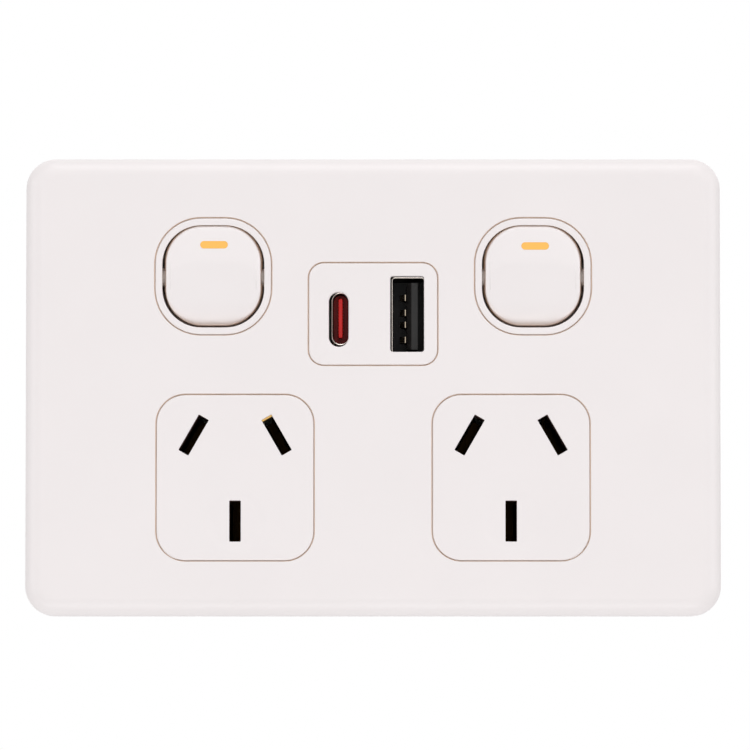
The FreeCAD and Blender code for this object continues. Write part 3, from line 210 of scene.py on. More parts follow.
def settle(piece, body, slot_name, *nodes):
    """Piece rides on a body and stands for CAD nodes. Its slot name is not used."""
    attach(piece, body)
    if nodes:
        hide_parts(*nodes)


# Materials

COAT_ROUGHNESS = 0.12
MOTTLING_DETAIL = 3.0
GRAIN_DETAIL = 4.0
GLOSS_SPREAD = 0.05
LEAST_ROUGHNESS = 0.02
RELIEF_METRES = 0.0001


def linear(red, green, blue):
    """Linear colour, as the shaders take it, from red, green and blue of 0 to 255."""
    def channel(value):
        value /= 255
        return value / 12.92 if value <= 0.04045 else ((value + 0.055) / 1.055) ** 2.4
    return channel(red), channel(green), channel(blue), 1.0


def shaded(colour, factor):
    """Colour made darker or lighter by a factor."""
    return colour[0] * factor, colour[1] * factor, colour[2] * factor, 1.0


def material(name, colour, roughness, metallic=0.0, variation=0.02, grain=900.0, bump=0.05,
             stretch=(1.0, 1.0, 1.0), specular=0.5, coat=0.0, mottling=60.0):
    """Procedural finish: slight mottling of the colour, uneven gloss and a fine surface grain."""
    made = bpy.data.materials.new(name)
    made.use_nodes = True
    nodes, links = made.node_tree.nodes, made.node_tree.links
    shader = nodes["Principled BSDF"]
    shader.inputs["Metallic"].default_value = metallic
    shader.inputs["Specular IOR Level"].default_value = specular
    shader.inputs["Coat Weight"].default_value = coat
    shader.inputs["Coat Roughness"].default_value = COAT_ROUGHNESS
    place = nodes.new("ShaderNodeTexCoord")
    mapping = nodes.new("ShaderNodeMapping")
    mapping.inputs["Scale"].default_value = stretch
    links.new(place.outputs["Object"], mapping.inputs["Vector"])
    clouds = nodes.new("ShaderNodeTexNoise")
    clouds.inputs["Scale"].default_value = mottling
    clouds.inputs["Detail"].default_value = MOTTLING_DETAIL
    links.new(mapping.outputs["Vector"], clouds.inputs["Vector"])
    tone = nodes.new("ShaderNodeMix")
    tone.data_type = "RGBA"
    tone.inputs["A"].default_value = shaded(colour, 1 - variation)
    tone.inputs["B"].default_value = shaded(colour, 1 + variation)
    links.new(clouds.outputs["Fac"], tone.inputs["Factor"])
    links.new(tone.outputs["Result"], shader.inputs["Base Color"])
    speck = nodes.new("ShaderNodeTexNoise")
    speck.inputs["Scale"].default_value = grain
    speck.inputs["Detail"].default_value = GRAIN_DETAIL
    links.new(mapping.outputs["Vector"], speck.inputs["Vector"])
    gloss = nodes.new("ShaderNodeMapRange")
    gloss.inputs["To Min"].default_value = max(roughness - GLOSS_SPREAD, LEAST_ROUGHNESS)
    gloss.inputs["To Max"].default_value = roughness + GLOSS_SPREAD
    links.new(speck.outputs["Fac"], gloss.inputs["Value"])
    links.new(gloss.outputs["Result"], shader.inputs["Roughness"])
    relief = nodes.new("ShaderNodeBump")
    relief.inputs["Strength"].default_value = bump
    relief.inputs["Distance"].default_value = RELIEF_METRES
    links.new(speck.outputs["Fac"], relief.inputs["Height"])
    links.new(relief.outputs["Normal"], shader.inputs["Normal"])
    return made


def metal(name, colour, roughness, stretch=(1.0, 0.05, 1.0)):
    """Sheet or turned metal with fine drawing lines."""
    return material(name, colour, roughness, metallic=1.0, variation=0.06, grain=2500.0, bump=0.12,
                    stretch=stretch, mottling=200.0)


WHITE = linear(240, 234, 234)
finishes = {
    "cover_white": material("cover_white", WHITE, 0.42),
    "frame_white": material("frame_white", linear(233, 230, 227), 0.55, bump=0.1),
    "socket_white": material("socket_white", WHITE, 0.38),
    "bezel_white": material("bezel_white", WHITE, 0.36),
    "rocker_white": material("rocker_white", linear(241, 235, 235), 0.3, coat=0.1),
    "mark_orange": material("mark_orange", linear(255, 193, 94), 0.4, variation=0.03),
    "insert_white": material("insert_white", WHITE, 0.4),
    "housing_plastic": material("housing_plastic", linear(228, 226, 222), 0.6, bump=0.25, grain=600.0),
    "plunger_plastic": material("plunger_plastic", linear(226, 226, 226), 0.45),
    "spring_steel": metal("spring_steel", linear(190, 190, 188), 0.3),
    # Brass of the clips and strips, darkened as painted shade deep in the slots.
    "strip_brass": metal("strip_brass", linear(92, 68, 38), 0.55),
    "contact_copper": metal("contact_copper", linear(200, 130, 95), 0.32),
    "contact_silver": metal("contact_silver", linear(222, 222, 216), 0.25),
    "terminal_brass": metal("terminal_brass", linear(206, 170, 104), 0.3),
    "screw_steel": metal("screw_steel", linear(190, 192, 194), 0.34),
    "terminal_screw_brass": metal("terminal_screw_brass", linear(200, 178, 128), 0.34),
    "port_steel": metal("port_steel", linear(214, 206, 198), 0.24),
    "tongue_black": material("tongue_black", linear(13, 11, 10), 0.45, variation=0.1),
    "tongue_red": material("tongue_red", linear(222, 26, 24), 0.4, variation=0.12, bump=0.3, grain=1500.0),
    "contact_gold": metal("contact_gold", linear(206, 190, 168), 0.3),
    "board_green": material("board_green", linear(24, 92, 52), 0.4, variation=0.1, coat=0.3),
    "ferrite": material("ferrite", linear(52, 50, 50), 0.7, variation=0.15, bump=0.3),
    "tape_yellow": material("tape_yellow", linear(214, 186, 70), 0.35, variation=0.05),
    "can_black": material("can_black", linear(28, 30, 42), 0.35, variation=0.08),
    "chip_black": material("chip_black", linear(34, 34, 36), 0.55, variation=0.1),
    "lead_brown": material("lead_brown", linear(96, 58, 36), 0.45, variation=0.06),
    "lead_blue": material("lead_blue", linear(40, 78, 150), 0.45, variation=0.06),
}
# Dark colour for the socket's white slot tunnels: painted shade deep in the slots.
painted_slot_shade = material("painted_slot_shade", linear(110, 84, 78), 0.6, variation=0.1, specular=0.1)
# Near-black for the inside of the steel port shells: painted shade.
painted_port_shade = material("painted_port_shade", linear(14, 10, 8), 0.45, variation=0.1, specular=0.2)
# The tongue's red plastic made darker for the block deep in the port: painted shade.
shaded_block_red = material("shaded_block_red", linear(185, 27, 25), 0.5, variation=0.15, bump=0.2)
gap_shade = material("gap_shade", linear(238, 217, 200), 0.6, variation=0.04, specular=0.2)
# Grey for the rocker's white trunnions: painted shade in the gap beside the rocker.
painted_trunnion_shade = material("painted_trunnion_shade", linear(176, 168, 164), 0.5)
# Darker metal for the cross recesses of all screw heads: painted shade in the recesses.
painted_recess_shade = metal("painted_recess_shade", linear(92, 88, 82), 0.5)
# Bright brass for the clip's end in one slot: painted highlight, a glint.
painted_clip_glint = metal("painted_clip_glint", linear(226, 184, 112), 0.35)

for entry in frame["record"]["subparts"]:
    node = frame["nodes"][entry["node"]]
    node.data.materials.clear()
    node.data.materials.append(finishes[entry["material_slot"]])


# Cover plate

COVER_BACK = 0.3
COVER_WALL = 1.8
COVER_BACK_EDGE = 0.25
COVER_INNER_EDGE = 1.2
EDGE_ROUND = 3.0
OPENING_EDGE = 0.1
OPENING_STEPS = 4
GAP = 0.2
LEDGE_GAP = 0.04
LEDGE_DROP = 0.4
COLLAR_WALL = 1.2
# Pairs of the gap round an insert and the depth below the start of the ledge.
LEDGE = ((GAP, 0.0), (LEDGE_GAP, 0.02), (LEDGE_GAP, 0.6), (GAP, 0.8))


def insert_outlines():
    """Place and size of everything that fills an opening of the cover."""
    rows = [(x, z, SOCKET) for x, z in SOCKET_PLACES]
    rows += [(x, z, BEZEL) for x, z in SWITCH_PLACES]
    rows.append((0.0, USB_RISE, USB))
    return rows


def make_cover():
    """Shell with a rounded front edge, softened openings and collars."""
    form = Form()
    rows = [(grown(PLATE, -COVER_BACK_EDGE), COVER_BACK),
            (grown(PLATE, 0.0), COVER_BACK + COVER_BACK_EDGE)]
    for inset, drop in rounding(EDGE_ROUND, steps=12):
        rows.append((grown(PLATE, -inset), FACE_DEPTH - drop))
    rim, face = form.chain(rows)
    inner_rows = [(grown(PLATE, -COVER_WALL), COVER_BACK),
                  (grown(PLATE, -COVER_WALL), FACE_DEPTH - COVER_WALL - COVER_INNER_EDGE),
                  (grown(PLATE, -COVER_WALL - COVER_INNER_EDGE), FACE_DEPTH - COVER_WALL)]
    inner_rim, roof = form.chain(inner_rows)
    form.skin(rim, inner_rim)
    openings = []
    collars = []
    for x, z, size in insert_outlines():
        hole = []
        for inset, drop in reversed(rounding(OPENING_EDGE, OPENING_STEPS)):
            hole.append((placed(grown(size, GAP + inset), x, z), FACE_DEPTH - drop))
        for gap, below in LEDGE:
            hole.append((placed(grown(size, gap), x, z), FACE_DEPTH - LEDGE_DROP - below))
        hole.append((placed(grown(size, GAP), x, z), FRAME_FRONT))
        outer = placed(grown(size, GAP + COLLAR_WALL), x, z)
        hole.append((outer, FRAME_FRONT))
        hole.append((outer, FACE_DEPTH - COVER_WALL))
        top, bottom = form.chain(hole, slots=[0] * OPENING_STEPS + [1] * (len(LEDGE) + 1))
        openings.append(top)
        collars.append(bottom)
    form.fill(face, *openings)
    form.fill(roof, *collars)
    piece = form.finish("cover", [finishes["cover_white"], gap_shade])
    settle(piece, "base", "cover_white", "cover_plate")


# Socket faces

SOCKET_WALL = 1.6
SOCKET_THICKNESS = 2.6
SOCKET_ROOF = FACE_DEPTH - SOCKET_THICKNESS
DISH_RADIUS = 5.5
DISH_DEPTH = 0.1
DISH_SLOPE = 1.6
DISH_STEPS = 6
DISH_SIDES = 72
SLOT = (1.9, 6.8, 0.12)
SLOT_EDGE = 0.07
SLOT_EDGE_STEPS = 3
SLOT_NECK = 0.5
TUNNEL_WALL = 1.1
# Place and turn of each slot. The last is the earth slot, in the dish.
SLOTS = ((-6.87, 7.05, -30.0), (6.87, 7.05, 30.0), (0.0, -7.2, 0.0))
EARTH_SLOT = SLOTS[2]


def slot_outline(place, amount):
    """Outline of a slot at its place, moved outward by an amount."""
    return placed(grown(SLOT, amount, steps=4), *place)


def add_dish(form):
    """Slope of the shallow dish round the earth slot. Returns its upper and its lower loop."""
    earth_x, earth_z, _ = EARTH_SLOT
    rows = []
    for step in range(DISH_STEPS + 1):
        share = step / DISH_STEPS
        fall = share * share * (3 - 2 * share)
        circle = ring(DISH_RADIUS - DISH_SLOPE * share, DISH_SIDES)
        rows.append((placed(circle, earth_x, earth_z), FACE_DEPTH - DISH_DEPTH * fall))
    return form.chain(rows)


def make_socket_face(hand, x, z):
    """Outlet face with softened edges, three slots, tunnels coloured dark as painted shade, and the shallow
    dish.
    """
    form = Form()
    rows = [(grown(SOCKET, -SOCKET_WALL), SOCKET_ROOF), (grown(SOCKET, -SOCKET_WALL), FLANGE_BACK),
            (grown(SOCKET, 0.0), FLANGE_BACK)]
    for inset, drop in rounding(INSERT_EDGE):
        rows.append((grown(SOCKET, -inset), FACE_DEPTH - drop))
    roof, face = form.chain(rows)
    dish_top, dish_floor = add_dish(form)
    mouths = []
    tunnels = []
    for place in SLOTS:
        level = FACE_DEPTH - (DISH_DEPTH if place is EARTH_SLOT else 0.0)
        rows = [(slot_outline(place, inset), level - drop)
                for inset, drop in reversed(rounding(SLOT_EDGE, SLOT_EDGE_STEPS))]
        rows.append((slot_outline(place, 0.0), level - SLOT_NECK))
        rows.append((slot_outline(place, 0.0), FLANGE_BACK))
        rows.append((slot_outline(place, TUNNEL_WALL), FLANGE_BACK))
        rows.append((slot_outline(place, TUNNEL_WALL), SOCKET_ROOF))
        # The tunnel walls below the neck take the dark colour, painted shade.
        mouth, tunnel = form.chain(rows, slots=[0] * (SLOT_EDGE_STEPS + 1) + [1] * 3)
        mouths.append(mouth)
        tunnels.append(tunnel)
    left_mouth, right_mouth, earth_mouth = mouths
    form.fill(face, left_mouth, right_mouth, dish_top)
    form.fill(dish_floor, earth_mouth)
    form.fill(roof, *tunnels)
    add_lips(form, SOCKET)
    piece = form.finish("outlet_" + hand, [finishes["socket_white"], painted_slot_shade], moved(x, z))
    settle(piece, "base", "socket_white", "socket_face_" + hand)


# Switches

BEZEL_RING = 1.15
BEZEL_UNDERCUT = 0.3
BEZEL_INNER_EDGE = 0.2
BEZEL_FLOOR = 2.5
UNDERCUT_FRONT = 9.2
UNDERCUT_END = 9.4
SWITCH_SHAFT = (11.6, 11.6, 0.3)
SWITCH_BOX = (14.0, 14.0, 0.3)
SWITCH_BACK = -4.2


def make_bezel(hand, x, z):
    """Bezel ring on its tube, flange and switch box."""
    form = Form()
    shaft, box = grown(SWITCH_SHAFT, 0.0), grown(SWITCH_BOX, 0.0)
    inside = grown(BEZEL, BEZEL_UNDERCUT - BEZEL_RING)
    rows = [(shaft, SWITCH_BACK), (shaft, BEZEL_FLOOR), (inside, BEZEL_FLOOR), (inside, UNDERCUT_FRONT),
            (grown(BEZEL, -BEZEL_RING), UNDERCUT_END)]
    for inset, drop in rounding(BEZEL_INNER_EDGE, steps=5):
        rows.append((grown(BEZEL, inset - BEZEL_RING), FACE_DEPTH - drop))
    for inset, drop in reversed(rounding(INSERT_EDGE, steps=5)):
        rows.append((grown(BEZEL, -inset), FACE_DEPTH - drop))
    rows += [(grown(BEZEL, 0.0), FLANGE_BACK), (box, FLANGE_BACK), (box, SWITCH_BACK)]
    form.chain(rows, closed=True, slots=[0, 0, 1, 1, 1])
    add_lips(form, BEZEL)
    piece = form.finish("bezel_" + hand, [finishes["bezel_white"], gap_shade], moved(x, z))
    settle(piece, "base", "bezel_white", "switch_housing_" + hand)


PIVOT_DEPTH = 7.6
ROCKER_TILT = 7.0
ROCKER = (15.6, 16.4, 6.0)
ROCKER_STEPS = 24
ROCKER_ARC = 8.68
ROCKER_MIDDLE = 0.3
ROCKER_PROUD = 2.7
ROCKER_SKIRT = 4.0
# How far behind the pivot each row of the rocker's walls lies.
WALL_ROWS = (ROCKER_SKIRT, 3.2, 2.4, 1.6, 0.8, 0.0, -0.6)
SWELL = 0.035
SWELL_MIDDLE = 1.4
SWELL_HALF = 2.7
SHOULDER = 0.08
SHOULDER_DROP = 0.25
CROWN = 0.75
CROWN_FALL = 0.26
CROWN_STEPS = 12
UPPER_RIDGE = 3.0
LOWER_RIDGE = -4.9
RIDGE_BOW = 2.2
RIDGE_REACH = 7.5
# Slope of a facet, and half the width of the soft ridge before it.
UPPER_FACET = (1.4 / 5.3, 0.8)
LOWER_FACET = (0.6 / 3.0, 1.3)
# The face is cut into rows over the ridges, each stretch with its start and count, and into columns.
CUT_STRETCHES = ((-6.3, 15), (-0.1, 22))
CUT_ROW = 0.2
CUT_COLUMN = 0.6
CUT_COLUMNS = range(-11, 12)
SLEEVE_RADIUS = 2.3
SLEEVE_BACK = -9.5
BORE_RADIUS = 1.4
BORE_END = -1.6
TRUNNION_RADIUS = 1.5
TRUNNION_SIDES = 32
TRUNNION_ENDS = (7.2, 9.05)
MARK_PLACES = {"left": (0.13, 5.5), "right": (0.36, 5.3)}
MARK = (4.6, 1.24, 0.62)
MARK_STEPS = 10
MARK_EDGE = 0.04
MARK_FIT = 0.02
MARK_RISE = 0.015
MARK_DEPTH = 0.55
RECESS_DEPTH = 0.6


def facet_drop(x, z):
    """How far the rocker's face lies below its flat middle. The upper ridge bows down at the sides."""
    drop = 0.0
    upper = z - UPPER_RIDGE + RIDGE_BOW * (abs(x) / RIDGE_REACH) ** 4
    for distance, (slope, soft) in ((upper, UPPER_FACET), (LOWER_RIDGE - z, LOWER_FACET)):
        if distance >= soft:
            drop += slope * distance
        elif distance > -soft:
            drop += slope * (distance + soft) ** 2 / (4 * soft)
    return drop


def lay_on_facets(vertices, depth):
    """Vertices go to a depth that is right in the flat middle and falls with the facets."""
    for vertex in vertices:
        vertex.co.y = -(depth - facet_drop(vertex.co.x / MM, vertex.co.z / MM)) * MM


def rocker_matrix(x, z):
    """Place and tilt of a rocker, whose own origin is its pivot."""
    place = Matrix.Translation((x * MM, -PIVOT_DEPTH * MM, z * MM))
    return place @ Matrix.Rotation(math.radians(ROCKER_TILT), 4, "X")


def rocker_outline(amount):
    """Outline of the rocker's face, moved outward by an amount."""
    return placed(grown(ROCKER, amount, ROCKER_STEPS), 0.0, ROCKER_MIDDLE)


def add_rocker_walls(form):
    """Walls with ends on an arc about the pivot, and the rolled edge. Returns the back and front loop."""
    shoulder = rocker_outline(SHOULDER)
    reach = ROCKER[1] / 2 + ROCKER_MIDDLE + SHOULDER
    walls = []
    for behind in WALL_ROWS:
        tall = math.sqrt(ROCKER_ARC ** 2 - behind ** 2) / reach
        wide = 1 + SWELL * math.sqrt(1 - ((behind - SWELL_MIDDLE) / SWELL_HALF) ** 2)
        walls.append(form.loop([(a * wide, b * tall) for a, b in shoulder], -behind))
    for first, second in zip(walls, walls[1:]):
        form.skin(first, second, slot=2)
    last = form.loop(shoulder, 0.0)
    lay_on_facets(last, ROCKER_PROUD - CROWN_FALL - SHOULDER_DROP)
    form.skin(walls[-1], last, slot=2)
    for step in range(1, CROWN_STEPS + 1):
        angle = math.pi / 2 * step / CROWN_STEPS
        inset = CROWN * (1 - math.cos(angle))
        low = CROWN_FALL * (1 - math.sin(angle))
        current = form.loop(rocker_outline(-inset), 0.0)
        lay_on_facets(current, ROCKER_PROUD - low)
        form.skin(last, current)
        last = current
    return walls[0], last


def add_rocker_face(form, edge, hand):
    """Face inside the rolled edge, cut finely and laid on the facets, with the recess for the mark."""
    mark_points = placed(rounded(*MARK, MARK_STEPS), *MARK_PLACES[hand])
    recess = form.loop(mark_points, 0.0)
    floor = form.loop(mark_points, 0.0)
    for vertex in edge + recess + floor:
        vertex.co.y = 0.0
    front = form.fill(edge, recess)
    geometry = list({side for face in front for side in face.edges})
    geometry += list({vertex for face in front for vertex in face.verts}) + front
    cuts = [((0, 0, start + CUT_ROW * step), (0, 0, 1))
            for start, count in CUT_STRETCHES for step in range(count)]
    cuts += [((CUT_COLUMN * step, 0, 0), (1, 0, 0)) for step in CUT_COLUMNS]
    for point, normal in cuts:
        cut = bmesh.ops.bisect_plane(form.bm, geom=geometry, plane_co=Vector(point) * MM,
                                     plane_no=normal, dist=1e-8)
        geometry = [item for item in cut["geom"] if item.is_valid]
    lay_on_facets([item for item in geometry if isinstance(item, bmesh.types.BMVert)], ROCKER_PROUD)
    lay_on_facets(edge + recess, ROCKER_PROUD)
    lay_on_facets(floor, ROCKER_PROUD - RECESS_DEPTH)
    form.skin(recess, floor)
    form.fill(floor)


def add_sleeve(form):
    """Sleeve behind the rocker with the plunger's bore. Returns the loop where it leaves the rocker."""
    outside, inside = ring(SLEEVE_RADIUS, ROUND_SIDES), ring(BORE_RADIUS, ROUND_SIDES)
    sleeve_back = form.loop(outside, SLEEVE_BACK)
    sleeve_front = form.loop(outside, -ROCKER_SKIRT)
    form.skin(sleeve_back, sleeve_front)
    bore = form.loop(inside, SLEEVE_BACK)
    form.skin(bore, sleeve_back)
    bore_end = form.loop(inside, BORE_END)
    form.skin(bore, bore_end)
    form.fill(bore_end)
    return sleeve_front


def add_trunnions(form):
    """Pin on each side of the rocker, along its axis."""
    circle = ring(TRUNNION_RADIUS, TRUNNION_SIDES)
    for side in (-1, 1):
        near, far = [[form.bm.verts.new((side * end * MM, a * MM, b * MM)) for a, b in circle]
                     for end in TRUNNION_ENDS]
        # The pins take the grey, painted shade.
        form.skin(near, far, slot=1)
        form.bm.faces.new(far)
        form.bm.faces.new(near)


def make_rocker(hand, x, z):
    """Rocker with soft ridges between its facets, a rolled edge, trunnions and sleeve."""
    form = Form()
    back, edge = add_rocker_walls(form)
    add_rocker_face(form, edge, hand)
    sleeve_front = add_sleeve(form)
    form.fill(back, sleeve_front)
    add_trunnions(form)
    piece = form.finish("rocker_face_" + hand, [finishes["rocker_white"], painted_trunnion_shade, gap_shade],
                        rocker_matrix(x, z))
    settle(piece, "rocker_" + hand, "rocker_white", "rocker_" + hand)


def make_mark(hand, x, z):
    """Orange inlay that follows the rocker's face and stands a little proud of it."""
    form = Form()
    rows = []
    for inset, drop in rounding(MARK_EDGE, steps=4):
        shrink = 2 * inset + MARK_FIT
        outline = rounded(MARK[0] - shrink, MARK[1] - shrink, MARK[2] - shrink / 2, MARK_STEPS)
        rows.append((placed(outline, *MARK_PLACES[hand]), ROCKER_PROUD - drop + MARK_RISE))
    form.capped([(rows[0][0], ROCKER_PROUD - MARK_DEPTH)] + rows)
    for vertex in form.bm.verts:
        vertex.co.y += facet_drop(vertex.co.x / MM, vertex.co.z / MM) * MM
    piece = form.finish("mark_" + hand, [finishes["mark_orange"]], rocker_matrix(x, z))
    settle(piece, "rocker_" + hand, "mark_orange", "rocker_mark_" + hand)


SPRING_RADIUS = 0.95
SPRING_WIRE = 0.35
SPRING_START = 1.95
SPRING_LENGTH = 3.3
SPRING_TURNS = 5


def make_spring(hand, x, z):
    """Round-wire coil behind the rocker."""
    form = Form()
    steps, sides = 24, 8
    total = SPRING_TURNS * steps
    back = Vector((0.0, 1.0, 0.0))
    last = None
    for step in range(total + 1):
        angle = 2 * math.pi * step / steps
        out = Vector((math.cos(angle), 0.0, math.sin(angle)))
        centre = out * SPRING_RADIUS + back * (SPRING_START + SPRING_LENGTH * step / total)
        current = [form.bm.verts.new((centre + out * a + back * b) * MM)
                   for a, b in ring(SPRING_WIRE / 2, sides)]
        if last is None:
            form.bm.faces.new(current)
        else:
            form.skin(last, current)
        last = current
    form.bm.faces.new(last)
    matrix = rocker_matrix(x, z)
    piece = form.finish("coil_" + hand, [finishes["spring_steel"]], matrix, weighted=False)
    settle(piece, "rocker_" + hand, "spring_steel", "switch_spring_" + hand)
    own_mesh(piece)


# Charging ports

A_PLACE = (5.65, 0.0)
C_PLACE = (-5.7, -0.9)
A_OPENING = (5.6, 12.6, 0.45)
C_OPENING = (3.25, 9.1, 1.62)
A_OPENING_EDGE = 0.2
C_OPENING_EDGE = 0.35
INSERT_WALL = 1.4
INSERT_ROOF = 8.2
BOARD_FRONT = -5.0
A_SHELL = (5.72, 13.1, 0.7)
C_SHELL = (3.16, 8.94, 1.58)
A_CENTRE = (5.85, 11.8)
C_CENTRE = (-5.4, 11.35)
PORT_FRONT = 8.1
SHEET = 0.3
# Pairs of how far a shell's rolled mouth lies outside the shell's outline and behind its front.
SHELL_MOUTH = ((-SHEET, 0.15), (-SHEET + 0.07, 0.04), (-SHEET + 0.15, 0.0), (-0.1, 0.03), (0.0, 0.12))
A_TONGUE_GAP = 1.0
A_TONGUE_THICKNESS = 1.84
A_CONTACT_RISES = (-3.85, -1.35, 0.65, 3.15)
A_CONTACT_HALF = 0.5
A_CONTACT_THICKNESS = 0.12
# Pairs of depth and how far a contact bows out of the tongue there.
A_CONTACT_BOW = ((-1.5, 0.02), (0.5, 0.12), (2.5, 0.52), (4.0, 0.9), (4.8, 1.0), (5.4, 0.86),
                 (6.1, 0.42), (6.5, 0.15))
C_CONTACTS = 12
C_CONTACT_PITCH = 0.5
C_CONTACT_HALF = 0.12
C_CONTACT_ROOT = 0.33
C_TONGUE_HALF = 0.35
# Pairs of depth and how far a contact stands off the tongue there.
C_CONTACT_HEIGHTS = ((4.6, 0.07), (6.4, 0.07), (6.8, 0.025))
C_BLOCK_FIT = 0.05
C_BLOCK_EDGE = 0.12
C_BLOCK_SIDE_FRONT = 4.5
C_BLOCK_FRONT = 4.6
C_TONGUE = (0.74, 6.6, 0.3)
C_TONGUE_LIFT = 0.12
C_TONGUE_FRONT = 7.4
C_TONGUE_EDGE = 0.2
# Two corners as x, depth and height, with x and height from the middle of the slot.
CLIP_EDGE_CORNERS = ((-0.93, 7.0, 3.08), (0.93, 9.55, 3.38))


def make_insert():
    """Insert with softened port openings and a skirt down to the board."""
    form = Form()
    rows = [(grown(USB, -INSERT_WALL), INSERT_ROOF), (grown(USB, -INSERT_WALL), BOARD_FRONT),
            (grown(USB, 0.0), BOARD_FRONT), (grown(USB, 0.0), FLANGE_BACK)]
    for inset, drop in rounding(INSERT_EDGE):
        rows.append((grown(USB, -inset), FACE_DEPTH - drop))
    roof, face = form.chain(rows)
    mouths, throats = [], []
    for size, (x, z), edge in ((A_OPENING, A_PLACE, A_OPENING_EDGE), (C_OPENING, C_PLACE, C_OPENING_EDGE)):
        hole = [(placed(grown(size, inset), x, z), FACE_DEPTH - drop)
                for inset, drop in reversed(rounding(edge, steps=5))]
        hole.append((placed(grown(size, 0.0), x, z), INSERT_ROOF))
        mouth, throat = form.chain(hole)
        mouths.append(mouth)
        throats.append(throat)
    form.fill(face, *mouths)
    form.fill(roof, *throats)
    add_lips(form, USB)
    piece = form.finish("usb_face", [finishes["insert_white"]], moved(0, USB_RISE))
    settle(piece, "base", "insert_white", "usb_insert")


def make_shell(name, size, centre, node):
    """Drawn sheet shell with a rolled mouth."""
    form = Form()
    rows = [(grown(size, -SHEET), BOARD_FRONT)]
    rows += [(grown(size, outward), PORT_FRONT - behind) for outward, behind in SHELL_MOUTH]
    rows.append((grown(size, 0.0), BOARD_FRONT))
    # The shell's inner wall takes the near-black, painted shade inside the port.
    form.chain(rows, closed=True, slots=[1])
    piece = form.finish(name, [finishes["port_steel"], painted_port_shade], moved(*centre))
    settle(piece, "base", "port_steel", node)


def make_a_contacts():
    """Four sprung contacts that bow out of the tongue's open side."""
    form = Form()
    tongue_face = A_CENTRE[0] + A_SHELL[0] / 2 - SHEET - A_TONGUE_GAP - A_TONGUE_THICKNESS
    for rise in A_CONTACT_RISES:
        low, high = rise - A_CONTACT_HALF, rise + A_CONTACT_HALF
        sections = []
        for depth, bow in A_CONTACT_BOW:
            inner = tongue_face - bow
            outer = inner - A_CONTACT_THICKNESS
            points = [(outer, low), (inner, low), (inner, high), (outer, high)]
            sections.append((placed(points, 0.0, A_CENTRE[1]), depth))
        form.capped(sections)
    piece = form.finish("port_a_contacts", [finishes["contact_gold"]])
    settle(piece, "base", "contact_gold", "usb_a_contacts")


def make_c_contacts():
    """Twelve fine contacts on each side of the red tongue, ends sloped into it."""
    form = Form()
    for side in (-1, 1):
        inner = C_CENTRE[0] + side * C_CONTACT_ROOT
        for number in range(C_CONTACTS):
            rise = C_CENTRE[1] + (number - (C_CONTACTS - 1) / 2) * C_CONTACT_PITCH
            low, high = rise - C_CONTACT_HALF, rise + C_CONTACT_HALF
            sections = []
            for depth, height in C_CONTACT_HEIGHTS:
                outer = C_CENTRE[0] + side * (C_TONGUE_HALF + height)
                sections.append(([(inner, low), (outer, low), (outer, high), (inner, high)], depth))
            form.capped(sections)
    piece = form.finish("port_c_contacts", [finishes["contact_gold"]])
    settle(piece, "base", "contact_gold", "usb_c_contacts")


def make_c_tongue():
    """Red insulating block with its tongue, whose front edge is softly rounded."""
    form = Form()
    block = grown(C_SHELL, -SHEET - C_BLOCK_FIT)
    # The block's sides and front take the darker red, painted shade deep in the port.
    foot, crest = form.chain([(block, BOARD_FRONT), (block, C_BLOCK_SIDE_FRONT),
                              (grown(C_SHELL, -SHEET - C_BLOCK_EDGE), C_BLOCK_FRONT)], slots=[1, 1])
    form.bm.faces.new(foot)
    rows = [(grown(C_TONGUE, 0.0), C_BLOCK_FRONT)]
    rows += [(grown(C_TONGUE, -inset), C_TONGUE_FRONT - drop)
             for inset, drop in rounding(C_TONGUE_EDGE, steps=4)]
    root, tip = form.chain([(placed(points, 0.0, C_TONGUE_LIFT), depth) for points, depth in rows])
    form.bm.faces.new(tip)
    form.fill(crest, root, slot=1)
    piece = form.finish("port_c_tongue", [finishes["tongue_red"], shaded_block_red], moved(*C_CENTRE))
    settle(piece, "base", "tongue_red", "usb_c_tongue")


def make_clip_edge():
    """End of the clip at the top of one slot, in a bright brass that paints a highlight."""
    form = Form()
    add_block(form, *CLIP_EDGE_CORNERS)
    slot_x, slot_z, turn = SLOTS[1]
    place_x, place_z = SOCKET_PLACES[0]
    matrix = moved(place_x + slot_x, place_z + slot_z) @ Matrix.Rotation(math.radians(-turn), 4, "Y")
    piece = form.finish("painted_clip_glint", [painted_clip_glint], matrix)
    settle(piece, "base", "strip_brass")


# Back of the outlet

HOUSING = (72.0, 53.98, 2.5)
HOUSING_MIDDLE = -0.29
HOUSING_WALL = 1.2
HOUSING_EDGE = 0.6
HOUSING_BACK = -13.2
HOUSING_FLOOR = -11.4
POST_FRONT = -3.0
POST_HALF = 2.8
POST_HOLE = 1.4
HEAD_WELL = 2.45
HEAD_WELL_EDGE = 0.15
HEAD_SEAT = -11.6
CHARGER = (27.0, 14.8, 0.6)
CHARGER_RISE = 13.4
CHARGER_BACK = -25.0
CHARGER_WALL = 1.5
CHARGER_EDGE = 0.55
SPIGOT_WALL = 0.7
SPIGOT_FIT = 0.1
TERMINALS = {"active": (-19.2, 4.0), "neutral": (0.0, -1.8), "earth": (19.2, -15.4)}
SEAT_HALF = 3.65
SHROUD_WALL = 1.5
SHROUD_BACK = -20.5
# Pairs of inset and distance in front of the shroud's back.
SHROUD_EDGE = ((0.0, 0.3), (0.1, 0.1), (0.3, 0.0))
SCREW_PLACES = ((-13.8, 23.1), (13.8, 23.1), (0.0, -23.68))
HEAD_EDGE = 0.2
# Arm and half width of the cross recess, as shares of the head's radius.
CROSS_MOUTH = (0.62, 0.15)
CROSS_FLOOR = (0.5, 0.1)
CROSS_DEPTH = 0.8


def squared(half, count):
    """Points of a ring pushed out onto a square."""
    return [(a * half / max(abs(a), abs(b)), b * half / max(abs(a), abs(b))) for a, b in ring(1.0, count)]


def cross(arm, half):
    """Outline of a cross recess."""
    corner = [(arm, -half), (arm, half), (half, half)]
    return [point for quarter in range(4) for point in placed(corner, turn=90.0 * quarter)]


